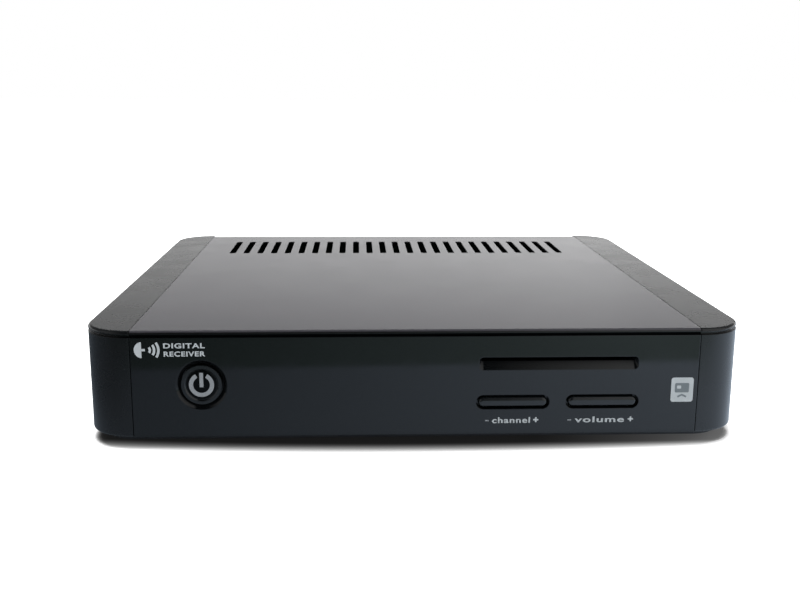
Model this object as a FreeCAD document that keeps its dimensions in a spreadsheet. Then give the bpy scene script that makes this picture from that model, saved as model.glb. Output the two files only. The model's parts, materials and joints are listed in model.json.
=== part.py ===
"""A satellite television receiver: a low steel and plastic case with its boards, sockets and buttons.

Millimetres. X runs along the front from left to right, Y from the front to the back, and Z up.
The origin lies on the surface under the feet, below the middle of the whole, its sockets included.
"""
import FreeCAD, Part
import math
import os
from types import SimpleNamespace

import Sketcher
from FreeCAD import Placement, Rotation, Vector

SIZES = {
    # The case as a whole
    "case_width": 240.0,
    "case_depth": 222.0,
    "case_height": 43.5,
    "corner_radius": 17.0,
    "rail_width": 17.9,
    "seam_gap": 0.3,
    "groove_height": 1.2,
    "groove_depth": 1.4,
    "edge_round": 1.1,
    "skirt_round": 0.8,
    # Feet
    "foot_height": 1.8,
    "foot_radius": 7.0,
    "foot_inset": 26.0,
    "foot_chamfer": 0.5,
    # Steel base with its rear wall
    "base_sheet": 0.8,
    "base_inset": 5.0,
    "base_lip": 2.5,
    "rear_wall_drop": 2.4,
    "pillar_radius": 3.0,
    "board_raise": 5.0,
    "floor_slot_count": 10,
    "floor_slot_pitch": 8.0,
    "floor_slot_width": 3.0,
    "floor_slot_length": 40.0,
    "floor_slot_round": 1.0,
    "floor_slot_inset": 12.0,
    "panel_clearance": 0.2,
    # Steel cover
    "cover_sheet": 0.6,
    "hem_depth": 10.0,
    "front_flange": 3.6,
    "side_flange": 8.0,
    "side_flange_setback": 12.0,
    "rear_strip": 4.5,
    "rear_strip_drop": 0.8,
    "rear_lip": 10.0,
    "vent_count": 25,
    "vent_pitch": 7.0,
    "vent_shift": 1.3,
    "vent_width": 3.2,
    "vent_length": 37.0,
    "vent_round": 1.2,
    "vent_from_back": 41.5,
    # Side cheeks
    "cheek_wall": 2.2,
    "cheek_top": 2.0,
    "cheek_flange": 2.0,
    "cheek_boss_inset": 11.0,
    "cheek_boss_end": 30.0,
    # Fascia
    "fascia_wall": 2.4,
    "fascia_flange": 2.0,
    "top_flange_depth": 7.4,
    "boss_radius": 3.0,
    "fascia_boss_spread": 62.0,
    "fascia_boss_setback": 9.6,
    # Screws
    "screw_shank": 1.2,
    "screw_head": 2.6,
    "screw_head_height": 1.2,
    "screw_length": 6.0,
    "cover_screw_spread": 82.0,
    "cover_screw_below_lip": 5.6,
    # Power button
    "power_inset": 24.8,
    "power_below_top": 19.8,
    "power_radius": 7.2,
    "power_gap": 0.35,
    "power_ring": 9.2,
    "power_ring_depth": 1.3,
    "dish_radius": 5.6,
    "dish_depth": 0.45,
    "dish_slope": 0.5,
    "power_flange_radius": 8.4,
    "power_travel_gap": 0.3,
    "button_flange": 1.0,
    "guide_gap": 0.25,
    "guide_wall": 1.4,
    "guide_depth": 3.4,
    "power_post": 1.6,
    # Rocker buttons
    "rocker_below_top": 27.1,
    "volume_inset": 34.9,
    "rocker_pitch": 32.7,
    "rocker_length": 25.2,
    "rocker_height": 3.7,
    "rocker_gap": 0.8,
    "rocker_proud": 0.4,
    "rocker_edge_round": 1.35,
    "rocker_flange_margin": 1.2,
    "rocker_flange_gap": 0.6,
    "rocker_post_inset": 3.6,
    "rocker_post": 1.2,
    "pivot_setback": 6.0,
    "pivot_radius": 1.0,
    "pivot_clearance": 0.05,
    "pivot_block": 1.6,
    "ear_half_width": 3.0,
    "ear_gap": 0.35,
    "ear_height": 2.4,
    "post_gap": 0.05,
    # Push switches behind the buttons
    "switch_side": 6.0,
    "switch_height": 3.5,
    "plunger_radius": 1.7,
    "plunger_clearance": 0.06,
    "plunger_proud": 1.2,
    "plunger_preload": 0.18,
    "plunger_seat": 1.2,
    "plunger_well": 1.9,
    # Card slot, card reader and its board
    "card_width": 53.98,
    "card_slit": 1.7,
    "card_slit_margin": 0.8,
    "slot_inset": 51.15,
    "slot_below_top": 10.3,
    "mouth_width": 57.9,
    "mouth_height": 4.7,
    "mouth_round": 1.5,
    "slit_round": 0.4,
    "funnel_depth": 1.6,
    "shroud_wall": 1.5,
    "shroud_depth": 3.4,
    "reader_floor": 1.9,
    "reader_roof": 1.8,
    "reader_side": 3.4,
    "reader_depth": 55.0,
    "reader_stop": 4.0,
    "reader_window": 30.0,
    "card_board_setback": 12.0,
    "card_board_margin": 7.0,
    "card_board_tail": 3.0,
    "standoff_radius": 2.9,
    "standoff_side_inset": 3.5,
    "standoff_end_inset": 7.0,
    "contact_length": 4.0,
    "contact_width": 1.4,
    "contact_height": 0.3,
    "contact_pitch": 2.54,
    "contact_row": 8.0,
    "contact_columns": 4,
    "contact_setback": 30.0,
    # Boards
    "board_sheet": 1.6,
    "front_board_setback": 13.0,
    "front_board_inset": 11.6,
    "front_board_clearance": 0.5,
    "front_hole_inset": 5.0,
    "main_board_inset": 4.6,
    "main_board_depth": 118.0,
    "main_board_back_gap": 2.4,
    "main_hole_inset": 6.0,
    "main_hole_back": 38.0,
    # Parts on the main board
    "chip_side": 23.0,
    "chip_height": 1.8,
    "chip_x": -4.0,
    "chip_from_front": 36.0,
    "sink_side": 31.0,
    "sink_base": 2.0,
    "sink_height": 10.0,
    "sink_fins": 8,
    "sink_fin": 0.9,
    "memory_length": 13.0,
    "memory_width": 9.0,
    "memory_height": 1.1,
    "memory_gap": 9.0,
    "capacitor_radius": 4.0,
    "capacitor_height": 12.0,
    "capacitor_count": 5,
    "capacitor_pitch": 11.0,
    "capacitor_from_left": 18.0,
    "capacitor_from_front": 44.0,
    # Ribbon between the boards
    "ribbon_x": -22.0,
    "ribbon_width": 20.0,
    "ribbon_sheet": 0.3,
    "ribbon_height": 2.4,
    "ribbon_socket_side": 5.0,
    "ribbon_socket_wall": 1.6,
    "ribbon_grip": 3.0,
    # Remote control eye and standby lamp
    "eye_spacing": 20.0,
    "eye_side": 6.0,
    "eye_depth": 3.0,
    "eye_dome": 2.5,
    "lamp_spacing": 14.0,
    "lamp_radius": 1.5,
    "lamp_length": 4.0,
    # Aerial sockets and tuner
    "tuner_width": 38.0,
    "tuner_depth": 44.0,
    "tuner_height": 17.0,
    "tuner_wall": 0.6,
    "tuner_inset": 5.6,
    "aerial_pitch": 18.0,
    "aerial_height": 9.0,
    "aerial_thread": 4.7625,
    "aerial_root": 4.6,
    "aerial_length": 10.6,
    "aerial_collar": 6.0,
    "aerial_collar_depth": 1.4,
    "aerial_bore": 3.3,
    "aerial_bore_depth": 9.0,
    "aerial_insert_recess": 0.8,
    "aerial_insert_floor": 0.7,
    "aerial_pinhole": 0.7,
    "nut_radius": 6.35,
    "nut_height": 2.4,
    # Phono sockets
    "phono_pitch": 13.4,
    "phono_shell": 4.15,
    "phono_shell_wall": 0.6,
    "phono_shell_step": 0.25,
    "phono_shell_length": 8.2,
    "phono_collar": 5.3,
    "phono_collar_length": 1.6,
    "phono_base": 0.8,
    "phono_hole": 1.65,
    "phono_hole_depth": 6.0,
    "phono_core_recess": 0.5,
    "phono_block_depth": 12.0,
    "phono_block_height": 12.6,
    # Other sockets, along the rear wall
    "rear_spacing": 2.6,
    "socket_proud": 0.2,
    "inlet_inset": 7.4,
    "inlet_width": 9.0,
    "inlet_height": 11.0,
    "inlet_depth": 14.0,
    "inlet_bore": 2.95,
    "inlet_bore_depth": 9.5,
    "inlet_pin": 1.0,
    "inlet_pin_recess": 1.0,
    "sensor_width": 7.0,
    "sensor_height": 6.4,
    "sensor_depth": 12.0,
    "sensor_barrel": 2.9,
    "sensor_barrel_proud": 1.0,
    "sensor_barrel_seat": 1.6,
    "sensor_bore": 1.8,
    "sensor_bore_depth": 11.0,
    "optical_width": 9.8,
    "optical_height": 10.4,
    "optical_depth": 13.5,
    "optical_cavity": 7.4,
    "optical_cavity_depth": 9.5,
    "flap_gap": 0.3,
    "flap_sheet": 0.6,
    "flap_setback": 1.2,
    "flap_pivot": 0.4,
    "flap_pivot_length": 0.6,
    "flap_pivot_drop": 0.75,
    "flap_clearance": 0.05,
    "network_width": 16.0,
    "network_height": 13.4,
    "network_depth": 21.0,
    "network_cavity_width": 11.8,
    "network_cavity_height": 8.0,
    "network_cavity_depth": 14.0,
    "network_latch_width": 6.2,
    "network_latch_height": 1.8,
    "network_pins": 8,
    "network_pin_pitch": 1.02,
    "network_pin_width": 0.45,
    "network_pin_length": 9.0,
    "network_pin_height": 0.5,
    "data_width": 14.2,
    "data_height": 6.8,
    "data_depth": 14.0,
    "data_wall": 0.5,
    "data_tongue_width": 11.2,
    "data_tongue_height": 1.9,
    "data_tongue_length": 9.2,
    "video_width": 15.0,
    "video_height": 6.0,
    "video_depth": 11.5,
    "video_wall": 0.6,
    "video_chamfer": 1.6,
    "video_tongue_width": 10.6,
    "video_tongue_height": 1.4,
    "video_tongue_length": 7.6,
}


class Length:
    """A length that carries its value in millimetres and its formula in the spreadsheet's cells."""

    def __init__(self, formula, value):
        self.formula = formula
        self.value = value

    def __add__(self, other):
        other = as_length(other)
        return Length(f"({self.formula} + {other.formula})", self.value + other.value)

    def __sub__(self, other):
        other = as_length(other)
        return Length(f"({self.formula} - {other.formula})", self.value - other.value)

    def __rsub__(self, other):
        return as_length(other) - self

    def __mul__(self, number):
        number = as_length(number)
        return Length(f"({self.formula} * {number.formula})", self.value * number.value)

    def __truediv__(self, number):
        number = as_length(number)
        return Length(f"({self.formula} / {number.formula})", self.value / number.value)

    def __neg__(self):
        return Length(f"(-{self.formula})", -self.value)

    __radd__ = __add__
    __rmul__ = __mul__


def as_length(thing):
    """A plain number as a length, and a length as it is."""
    return thing if isinstance(thing, Length) else Length(repr(thing), thing)


doc = FreeCAD.newDocument("SatelliteReceiver")
sheet = doc.addObject("Spreadsheet::Sheet", "Sizes")
for row, (name, millimetres) in enumerate(SIZES.items(), start=1):
    sheet.set(f"A{row}", name.replace("_", " "))
    sheet.set(f"B{row}", str(millimetres))
    sheet.setAlias(f"B{row}", name)
doc.recompute()
size = SimpleNamespace(**{name: Length(f"Sizes.{name}", value) for name, value in SIZES.items()})
sub_parts = []

# Planes that several pieces share
SOCKET_REACH = size.aerial_length - size.cover_sheet
FRONT = -(size.case_depth + SOCKET_REACH - size.rocker_proud) / 2
BACK = FRONT + size.case_depth
MIDDLE_Y = (FRONT + BACK) / 2
SIDE = size.case_width / 2
TOP = size.case_height
SEAM = SIDE - size.rail_width
MIDDLE_HALF = SEAM - size.seam_gap / 2
TRAY_BOTTOM = size.foot_height
FLOOR_TOP = TRAY_BOTTOM + size.base_sheet
SKIRT = TRAY_BOTTOM + size.base_lip
HEM_BOTTOM = TOP - size.cover_sheet * 2
FACE_TOP = HEM_BOTTOM - size.groove_height
WALL_BACK = FRONT + size.fascia_wall
LIP_FRONT = BACK - size.cover_sheet
PANEL_FRONT = LIP_FRONT - size.base_sheet
BOARD_BOTTOM = FLOOR_TOP + size.board_raise
BOARD_TOP = BOARD_BOTTOM + size.board_sheet
BOARD_HALF = SEAM - size.main_board_inset
BOARD_BACK = PANEL_FRONT - size.main_board_back_gap
BOARD_FRONT = BOARD_BACK - size.main_board_depth
SOCKET_BACK = LIP_FRONT + size.socket_proud

# The front controls
FRONT_BOARD = FRONT + size.front_board_setback
FRONT_BOARD_HALF = SEAM - size.front_board_inset
SWITCH_FACE = FRONT_BOARD - size.switch_height
PLUNGER_TIP = SWITCH_FACE - size.plunger_proud
POWER_X = -SEAM + size.power_inset
POWER_Z = TOP - size.power_below_top
ROCKER_Z = TOP - size.rocker_below_top
VOLUME_X = SEAM - size.volume_inset
CHANNEL_X = VOLUME_X - size.rocker_pitch
PIVOT_Y = FRONT + size.pivot_setback
EAR_NEAR = size.rocker_height / 2 + size.rocker_flange_margin + size.ear_gap
EAR_FAR = EAR_NEAR + size.ear_height
ROCKER_THROW = size.rocker_length / 2 - size.rocker_post_inset

# The card's path
SLOT_X = SEAM - size.slot_inset
SLOT_HIGH = TOP - size.slot_below_top
SLOT_LOW = SLOT_HIGH - size.card_slit
SLIT_HALF = size.card_width / 2 + size.card_slit_margin
MOUTH_HALF = size.mouth_width / 2
MOUTH_LOW = SLOT_HIGH - size.mouth_height
SHROUD_BACK = WALL_BACK + size.shroud_depth
CARD_BOARD_TOP = SLOT_LOW - size.reader_floor
CARD_BOARD_BOTTOM = CARD_BOARD_TOP - size.board_sheet
READER_HALF = SLIT_HALF + size.reader_side
READER_BACK = SHROUD_BACK + size.reader_depth
CARD_BOARD_FRONT = FRONT + size.card_board_setback
CARD_BOARD_BACK = READER_BACK + size.card_board_tail
CARD_BOARD_HALF = READER_HALF + size.card_board_margin

# Middles of the sockets along the rear wall, first from the left seam and then from the right one
INLET_X = -SEAM + size.inlet_inset
SENSOR_X = INLET_X + size.inlet_width / 2 + size.rear_spacing + size.sensor_width / 2
OPTICAL_X = SENSOR_X + size.sensor_width / 2 + size.rear_spacing + size.optical_width / 2
PHONO_X = OPTICAL_X + size.optical_width / 2 + size.rear_spacing + size.phono_collar
TUNER_RIGHT = SEAM - size.tuner_inset
TUNER_LEFT = TUNER_RIGHT - size.tuner_width
AERIAL_X = (TUNER_LEFT + TUNER_RIGHT) / 2
NETWORK_X = TUNER_LEFT - size.rear_spacing - size.network_width / 2
DATA_X = NETWORK_X - size.network_width / 2 - size.rear_spacing - size.data_width / 2
VIDEO_X = DATA_X - size.data_width / 2 - size.rear_spacing - size.video_width / 2
AERIAL_Z = BOARD_TOP + size.aerial_height
PHONO_Z = BOARD_TOP + size.phono_block_height / 2
INLET_Z = BOARD_TOP + size.inlet_height / 2
SENSOR_Z = BOARD_TOP + size.sensor_height / 2
OPTICAL_Z = BOARD_TOP + size.optical_height / 2
PHONOS = [PHONO_X + size.phono_pitch * place for place in range(3)]
AERIALS = [AERIAL_X - size.aerial_pitch / 2, AERIAL_X + size.aerial_pitch / 2]

# Screw places: (x, y) from above for the boards and the base, (x, z) from behind for the front board
MAIN_HOLES = [
    (-BOARD_HALF + size.main_hole_inset, BOARD_FRONT + size.main_hole_inset),
    (BOARD_HALF - size.main_hole_inset, BOARD_FRONT + size.main_hole_inset),
    (-BOARD_HALF + size.main_hole_inset, BACK - size.main_hole_back),
    (TUNER_LEFT - size.main_hole_inset, BACK - size.main_hole_back),
]
CARD_HOLES = [
    (SLOT_X + (CARD_BOARD_HALF - size.standoff_side_inset) * side, end)
    for side in (-1, 1)
    for end in (CARD_BOARD_FRONT + size.standoff_end_inset, CARD_BOARD_BACK - size.standoff_end_inset)
]
FRONT_BOARD_BOTTOM = SKIRT + size.fascia_flange
FRONT_BOARD_TOP = CARD_BOARD_BOTTOM - size.front_board_clearance
FRONT_HOLES = [
    (-FRONT_BOARD_HALF + size.front_hole_inset, FRONT_BOARD_BOTTOM + size.front_hole_inset),
    (FRONT_BOARD_HALF - size.front_hole_inset, FRONT_BOARD_BOTTOM + size.front_hole_inset),
    (FRONT_BOARD_HALF - size.front_hole_inset, FRONT_BOARD_TOP - size.front_hole_inset),
    (CHANNEL_X - size.rocker_length, FRONT_BOARD_TOP - size.front_hole_inset),
]
FASCIA_BOSSES = [
    (size.fascia_boss_spread * place, FRONT + size.fascia_boss_setback) for place in (-1, 0, 1)
]
CHEEK_BOSSES = [
    (-SIDE + size.cheek_boss_inset, MIDDLE_Y + (size.case_depth / 2 - size.cheek_boss_end) * place)
    for place in (-1, 0, 1)
]
COVER_SCREWS = [
    (size.cover_screw_spread * place, TOP - size.cover_screw_below_lip) for place in (-1, 0, 1)
]
QUARTER_TURN = math.pi / 2
TOUCH = 0.01
AXIS_TURN = {
    "X": Rotation(Vector(0, 1, 0), 90),
    "Y": Rotation(Vector(1, 0, 0), -90),
    "Z": Rotation(),
}


# Building with Part's primitives

def tie(thing, place, wanted):
    """Binds one property of an object to a formula of the spreadsheet's cells."""
    thing.setExpression(place, as_length(wanted).formula)


def settle(thing, x, y, z):
    """Binds the place of an object."""
    for axis, wanted in zip("xyz", (x, y, z)):
        tie(thing, f"Placement.Base.{axis}", wanted)


def block(name, x, y, z):
    """A box between a low and a high value along each of X, Y and Z."""
    thing = doc.addObject("Part::Box", name)
    settle(thing, x[0], y[0], z[0])
    for side, (low, high) in zip(("Length", "Width", "Height"), (x, y, z)):
        tie(thing, side, high - low)
    return thing


def rod(name, axis, centre, span, radius):
    """A round bar along an axis, given its two other coordinates, its span and its radius."""
    thing = doc.addObject("Part::Cylinder", name)
    thing.Placement = Placement(Vector(), AXIS_TURN[axis])
    place = list(centre)
    place.insert("XYZ".index(axis), span[0])
    settle(thing, *place)
    tie(thing, "Radius", radius)
    tie(thing, "Height", span[1] - span[0])
    return thing


def hexagon(name, axis, centre, span, radius):
    """A six-sided bar along an axis, given the radius over its corners."""
    thing = doc.addObject("Part::Prism", name)
    thing.Polygon = 6
    thing.Placement = Placement(Vector(), AXIS_TURN[axis])
    place = list(centre)
    place.insert("XYZ".index(axis), span[0])
    settle(thing, *place)
    tie(thing, "Circumradius", radius)
    tie(thing, "Height", span[1] - span[0])
    return thing


def join(name, *pieces):
    """One solid from pieces that meet."""
    thing = doc.addObject("Part::MultiFuse", name)
    thing.Shapes = list(pieces)
    thing.Refine = True
    return thing


def cut(name, base, *tools):
    """A solid less one or more tools."""
    thing = doc.addObject("Part::Cut", name)
    thing.Base = base
    thing.Tool = tools[0] if len(tools) == 1 else join(f"{name}_tools", *tools)
    return thing


def gather(name, pieces):
    """Separate solids that share one node."""
    thing = doc.addObject("Part::Compound", name)
    thing.Links = list(pieces)
    return thing


def finish(label, thing):
    """Gives a sub-part its label and puts it on the list of what is written."""
    thing.Label = label
    sub_parts.append(thing)
    return thing


# Building with PartDesign's bodies

def new_body(name):
    """An empty body, named for its sub-part."""
    return doc.addObject("PartDesign::Body", name)


def draw_on(body, name, role, offset):
    """A sketch on one of the body's own origin planes, moved along the plane's normal."""
    sketch = body.newObject("Sketcher::SketchObject", name)
    plane = next(feature for feature in body.Origin.OriginFeatures if feature.Role == role)
    sketch.AttachmentSupport = [(plane, "")]
    sketch.MapMode = "FlatFace"
    tie(sketch, "AttachmentOffset.Base.z", offset)
    return sketch


def hold(sketch, kind, geometry, end, wanted):
    """Holds one point of a sketch by a distance from the origin, bound to a formula."""
    index = sketch.addConstraint(Sketcher.Constraint(kind, geometry, end, as_length(wanted).value))
    tie(sketch, f"Constraints[{index}]", wanted)


def draw_polygon(sketch, points):
    """A closed line through points, each held at its own place."""
    first = sketch.GeometryCount
    count = len(points)
    spots = [Vector(as_length(x).value, as_length(y).value, 0) for x, y in points]
    for place in range(count):
        sketch.addGeometry(Part.LineSegment(spots[place], spots[(place + 1) % count]))
    for place in range(count):
        following = first + (place + 1) % count
        sketch.addConstraint(Sketcher.Constraint("Coincident", first + place, 2, following, 1))
    for place, (x, y) in enumerate(points):
        hold(sketch, "DistanceX", first + place, 1, x)
        hold(sketch, "DistanceY", first + place, 1, y)


def draw_circle(sketch, x, y, radius):
    """A circle held by its middle and its radius."""
    middle = Vector(as_length(x).value, as_length(y).value, 0)
    index = sketch.addGeometry(Part.Circle(middle, Vector(0, 0, 1), as_length(radius).value))
    hold(sketch, "DistanceX", index, 3, x)
    hold(sketch, "DistanceY", index, 3, y)
    held = sketch.addConstraint(Sketcher.Constraint("Radius", index, as_length(radius).value))
    tie(sketch, f"Constraints[{held}]", radius)


def draw_rounded(sketch, left, right, low, high, radius):
    """A rectangle with a round of one radius on each corner, drawn anticlockwise."""
    corners = [
        (left + radius, low + radius, 2),
        (right - radius, low + radius, 3),
        (right - radius, high - radius, 0),
        (left + radius, high - radius, 1),
    ]
    arcs = []
    for x, y, quarter in corners:
        circle = Part.Circle(Vector(x.value, y.value, 0), Vector(0, 0, 1), as_length(radius).value)
        start = quarter * QUARTER_TURN
        arcs.append(sketch.addGeometry(Part.ArcOfCircle(circle, start, start + QUARTER_TURN)))
    for place, arc in enumerate(arcs):
        following = arcs[(place + 1) % 4]
        start = sketch.getPoint(arc, 2)
        line = sketch.addGeometry(Part.LineSegment(start, sketch.getPoint(following, 1)))
        sketch.addConstraint(Sketcher.Constraint("Tangent", arc, 2, line, 1))
        sketch.addConstraint(Sketcher.Constraint("Tangent", line, 2, following, 1))
    for (x, y, quarter), arc in zip(corners, arcs):
        hold(sketch, "DistanceX", arc, 3, x)
        hold(sketch, "DistanceY", arc, 3, y)
    held = sketch.addConstraint(Sketcher.Constraint("Radius", arcs[0], as_length(radius).value))
    tie(sketch, f"Constraints[{held}]", radius)


def draw_box(sketch, left, right, low, high):
    """A rectangle with sharp corners."""
    draw_polygon(sketch, [(left, low), (right, low), (right, high), (left, high)])


def draw_stadium(sketch, x, y, length, height):
    """A slot with round ends, level with the sketch's horizontal, held by its two end arcs."""
    radius = height / 2
    reach = length / 2 - radius
    arcs = []
    for middle, start in ((x + reach, -QUARTER_TURN), (x - reach, QUARTER_TURN)):
        circle = Part.Circle(Vector(middle.value, y.value, 0), Vector(0, 0, 1), radius.value)
        arcs.append(sketch.addGeometry(Part.ArcOfCircle(circle, start, start + math.pi)))
        hold(sketch, "DistanceX", arcs[-1], 3, middle)
        hold(sketch, "DistanceY", arcs[-1], 3, y)
    for one, other in ((arcs[0], arcs[1]), (arcs[1], arcs[0])):
        ends = sketch.getPoint(one, 2), sketch.getPoint(other, 1)
        line = sketch.addGeometry(Part.LineSegment(*ends))
        sketch.addConstraint(Sketcher.Constraint("Tangent", one, 2, line, 1))
        sketch.addConstraint(Sketcher.Constraint("Tangent", line, 2, other, 1))
    held = sketch.addConstraint(Sketcher.Constraint("Radius", arcs[0], radius.value))
    tie(sketch, f"Constraints[{held}]", radius)


def extrude(body, kind, sketch, length, reverse=False, both_ways=False):
    """A pad or a pocket of a sketch; a pocket runs against the sketch's normal unless reversed."""
    feature = body.newObject(f"PartDesign::{kind}", f"{sketch.Name}_{kind.lower()}")
    feature.Profile = sketch
    feature.Reversed = reverse
    feature.SideType = "Symmetric" if both_ways else "One side"
    tie(feature, "Length", length)
    body.Tip = feature
    return feature


def round_edges(body, radius, chosen):
    """A fillet on each edge of the body that the test chooses."""
    doc.recompute()
    base = body.Tip
    names = [f"Edge{place}" for place, edge in enumerate(base.Shape.Edges, start=1) if chosen(edge)]
    feature = body.newObject("PartDesign::Fillet", f"{body.Name}_rounds")
    feature.Base = (base, names)
    tie(feature, "Radius", radius)
    body.Tip = feature
    return feature


def lies_at(edge, axis, place):
    """Whether the whole edge lies in the plane where a coordinate has one value."""
    box = edge.BoundBox
    low, high = getattr(box, f"{axis}Min"), getattr(box, f"{axis}Max")
    return max(abs(low - place.value), abs(high - place.value)) < TOUCH


# The case

def base_chassis():
    """A steel pan with a low rim, whose back edge is drawn up into the rear wall."""
    body = new_body("base_chassis")
    left = -SIDE + size.base_inset
    low = FRONT + size.base_inset
    radius = size.corner_radius - size.base_inset
    sketch = draw_on(body, "pan_outline", "XY_Plane", TRAY_BOTTOM)
    draw_rounded(sketch, left, -left, low, LIP_FRONT, radius)
    extrude(body, "Pad", sketch, size.base_lip)
    sketch = draw_on(body, "pan_inside", "XY_Plane", SKIRT)
    sheet_in = size.base_sheet
    draw_rounded(sketch, left + sheet_in, -left - sheet_in, low + sheet_in, PANEL_FRONT, radius - sheet_in)
    extrude(body, "Pocket", sketch, size.base_lip - size.base_sheet)
    sketch = draw_on(body, "rear_wall", "XZ_Plane", -LIP_FRONT)
    draw_box(sketch, -MIDDLE_HALF, MIDDLE_HALF, TRAY_BOTTOM, TOP - size.rear_wall_drop)
    extrude(body, "Pad", sketch, size.base_sheet)
    sketch = draw_on(body, "pillars", "XY_Plane", FLOOR_TOP)
    for x, y in MAIN_HOLES:
        draw_circle(sketch, x, y, size.pillar_radius)
    extrude(body, "Pad", sketch, size.board_raise)
    sketch = draw_on(body, "pillar_bores", "XY_Plane", BOARD_BOTTOM)
    for x, y in MAIN_HOLES:
        draw_circle(sketch, x, y, size.screw_shank)
    extrude(body, "Pocket", sketch, size.board_raise)
    sketch = draw_on(body, "base_screw_holes", "XY_Plane", FLOOR_TOP)
    for x, y in FASCIA_BOSSES + CHEEK_BOSSES + [(-x, y) for x, y in CHEEK_BOSSES] + CARD_HOLES:
        draw_circle(sketch, x, y, size.screw_shank + size.panel_clearance)
    extrude(body, "Pocket", sketch, size.base_sheet)
    sketch = draw_on(body, "rear_openings", "XZ_Plane", -LIP_FRONT)
    rear_openings(sketch)
    extrude(body, "Pocket", sketch, size.base_sheet, reverse=True)
    sketch = draw_on(body, "floor_slot", "XY_Plane", FLOOR_TOP)
    start = -size.floor_slot_pitch * (size.floor_slot_count - 1) / 2
    width, length = size.floor_slot_width, size.floor_slot_length
    slot_front = BOARD_FRONT + size.floor_slot_inset
    draw_rounded(
        sketch, start - width / 2, start + width / 2, slot_front, slot_front + length, size.floor_slot_round
    )
    slot = extrude(body, "Pocket", sketch, size.base_sheet)
    repeat_along_x(body, "floor_slots", slot, sketch, size.floor_slot_pitch, size.floor_slot_count)
    return finish("base_chassis", body)


def repeat_along_x(body, name, feature, sketch, pitch, count):
    """Repeats a feature along its sketch's horizontal axis."""
    pattern = body.newObject("PartDesign::LinearPattern", name)
    pattern.Originals = [feature]
    pattern.Direction = (sketch, ["H_Axis"])
    tie(pattern, "Length", pitch * (count - 1))
    tie(pattern, "Occurrences", count)
    body.Tip = pattern


def rear_openings(sketch):
    """The holes that the sockets look out of, each a clearance larger than its socket."""
    gap = size.panel_clearance
    for x in AERIALS:
        draw_circle(sketch, x, AERIAL_Z, size.aerial_thread + gap)
    for x in PHONOS:
        draw_circle(sketch, x, PHONO_Z, size.phono_collar + gap)
    draw_circle(sketch, SENSOR_X, SENSOR_Z, size.sensor_barrel + gap)
    for x, width, height in (
        (INLET_X, size.inlet_width, size.inlet_height),
        (OPTICAL_X, size.optical_width, size.optical_height),
        (NETWORK_X, size.network_width, size.network_height),
        (DATA_X, size.data_width, size.data_height),
        (VIDEO_X, size.video_width, size.video_height),
    ):
        half = width / 2 + gap
        draw_box(sketch, x - half, x + half, BOARD_TOP - gap, BOARD_TOP + height + gap)
    for x, z in COVER_SCREWS:
        draw_circle(sketch, x, z, size.screw_shank + gap)


def top_cover():
    """A folded steel cover: a doubled front edge, a lowered strip and a lip at the back, and vents."""
    body = new_body("top_cover")
    sheet_in = size.cover_sheet
    hem_back = FRONT + size.hem_depth
    strip = BACK - size.rear_strip
    lip_low = TOP - size.rear_lip
    drop = size.rear_strip_drop
    sketch = draw_on(body, "cover_profile", "YZ_Plane", 0)
    draw_polygon(sketch, [
        (FRONT, TOP),
        (FRONT, HEM_BOTTOM),
        (hem_back - sheet_in, HEM_BOTTOM),
        (hem_back - sheet_in, HEM_BOTTOM - size.front_flange),
        (hem_back, HEM_BOTTOM - size.front_flange),
        (hem_back, TOP - sheet_in),
        (strip, TOP - sheet_in),
        (BACK - sheet_in, TOP - drop - sheet_in),
        (BACK - sheet_in, lip_low),
        (BACK, lip_low),
        (BACK, TOP - drop),
        (strip, TOP),
    ])
    extrude(body, "Pad", sketch, MIDDLE_HALF * 2, both_ways=True)
    sketch = draw_on(body, "side_flanges", "XY_Plane", TOP - sheet_in / 2)
    ends = FRONT + size.side_flange_setback, BACK - size.side_flange_setback
    draw_box(sketch, -MIDDLE_HALF, -MIDDLE_HALF + sheet_in, *ends)
    draw_box(sketch, MIDDLE_HALF - sheet_in, MIDDLE_HALF, *ends)
    extrude(body, "Pad", sketch, size.side_flange, reverse=True)
    sketch = draw_on(body, "vent", "XY_Plane", TOP)
    middle = BACK - size.vent_from_back
    start = -size.vent_pitch * (size.vent_count - 1) / 2 - size.vent_shift
    draw_rounded(
        sketch, start - size.vent_width / 2, start + size.vent_width / 2,
        middle - size.vent_length / 2, middle + size.vent_length / 2, size.vent_round,
    )
    slot = extrude(body, "Pocket", sketch, sheet_in)
    repeat_along_x(body, "vents", slot, sketch, size.vent_pitch, size.vent_count)
    sketch = draw_on(body, "lip_holes", "XZ_Plane", -BACK)
    for x, z in COVER_SCREWS:
        draw_circle(sketch, x, z, size.screw_shank + size.panel_clearance)
    extrude(body, "Pocket", sketch, sheet_in, reverse=True)
    round_edges(body, size.edge_round, lambda edge: lies_at(edge, "Y", FRONT) and lies_at(edge, "Z", TOP))
    return finish("top_cover", body)


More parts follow.
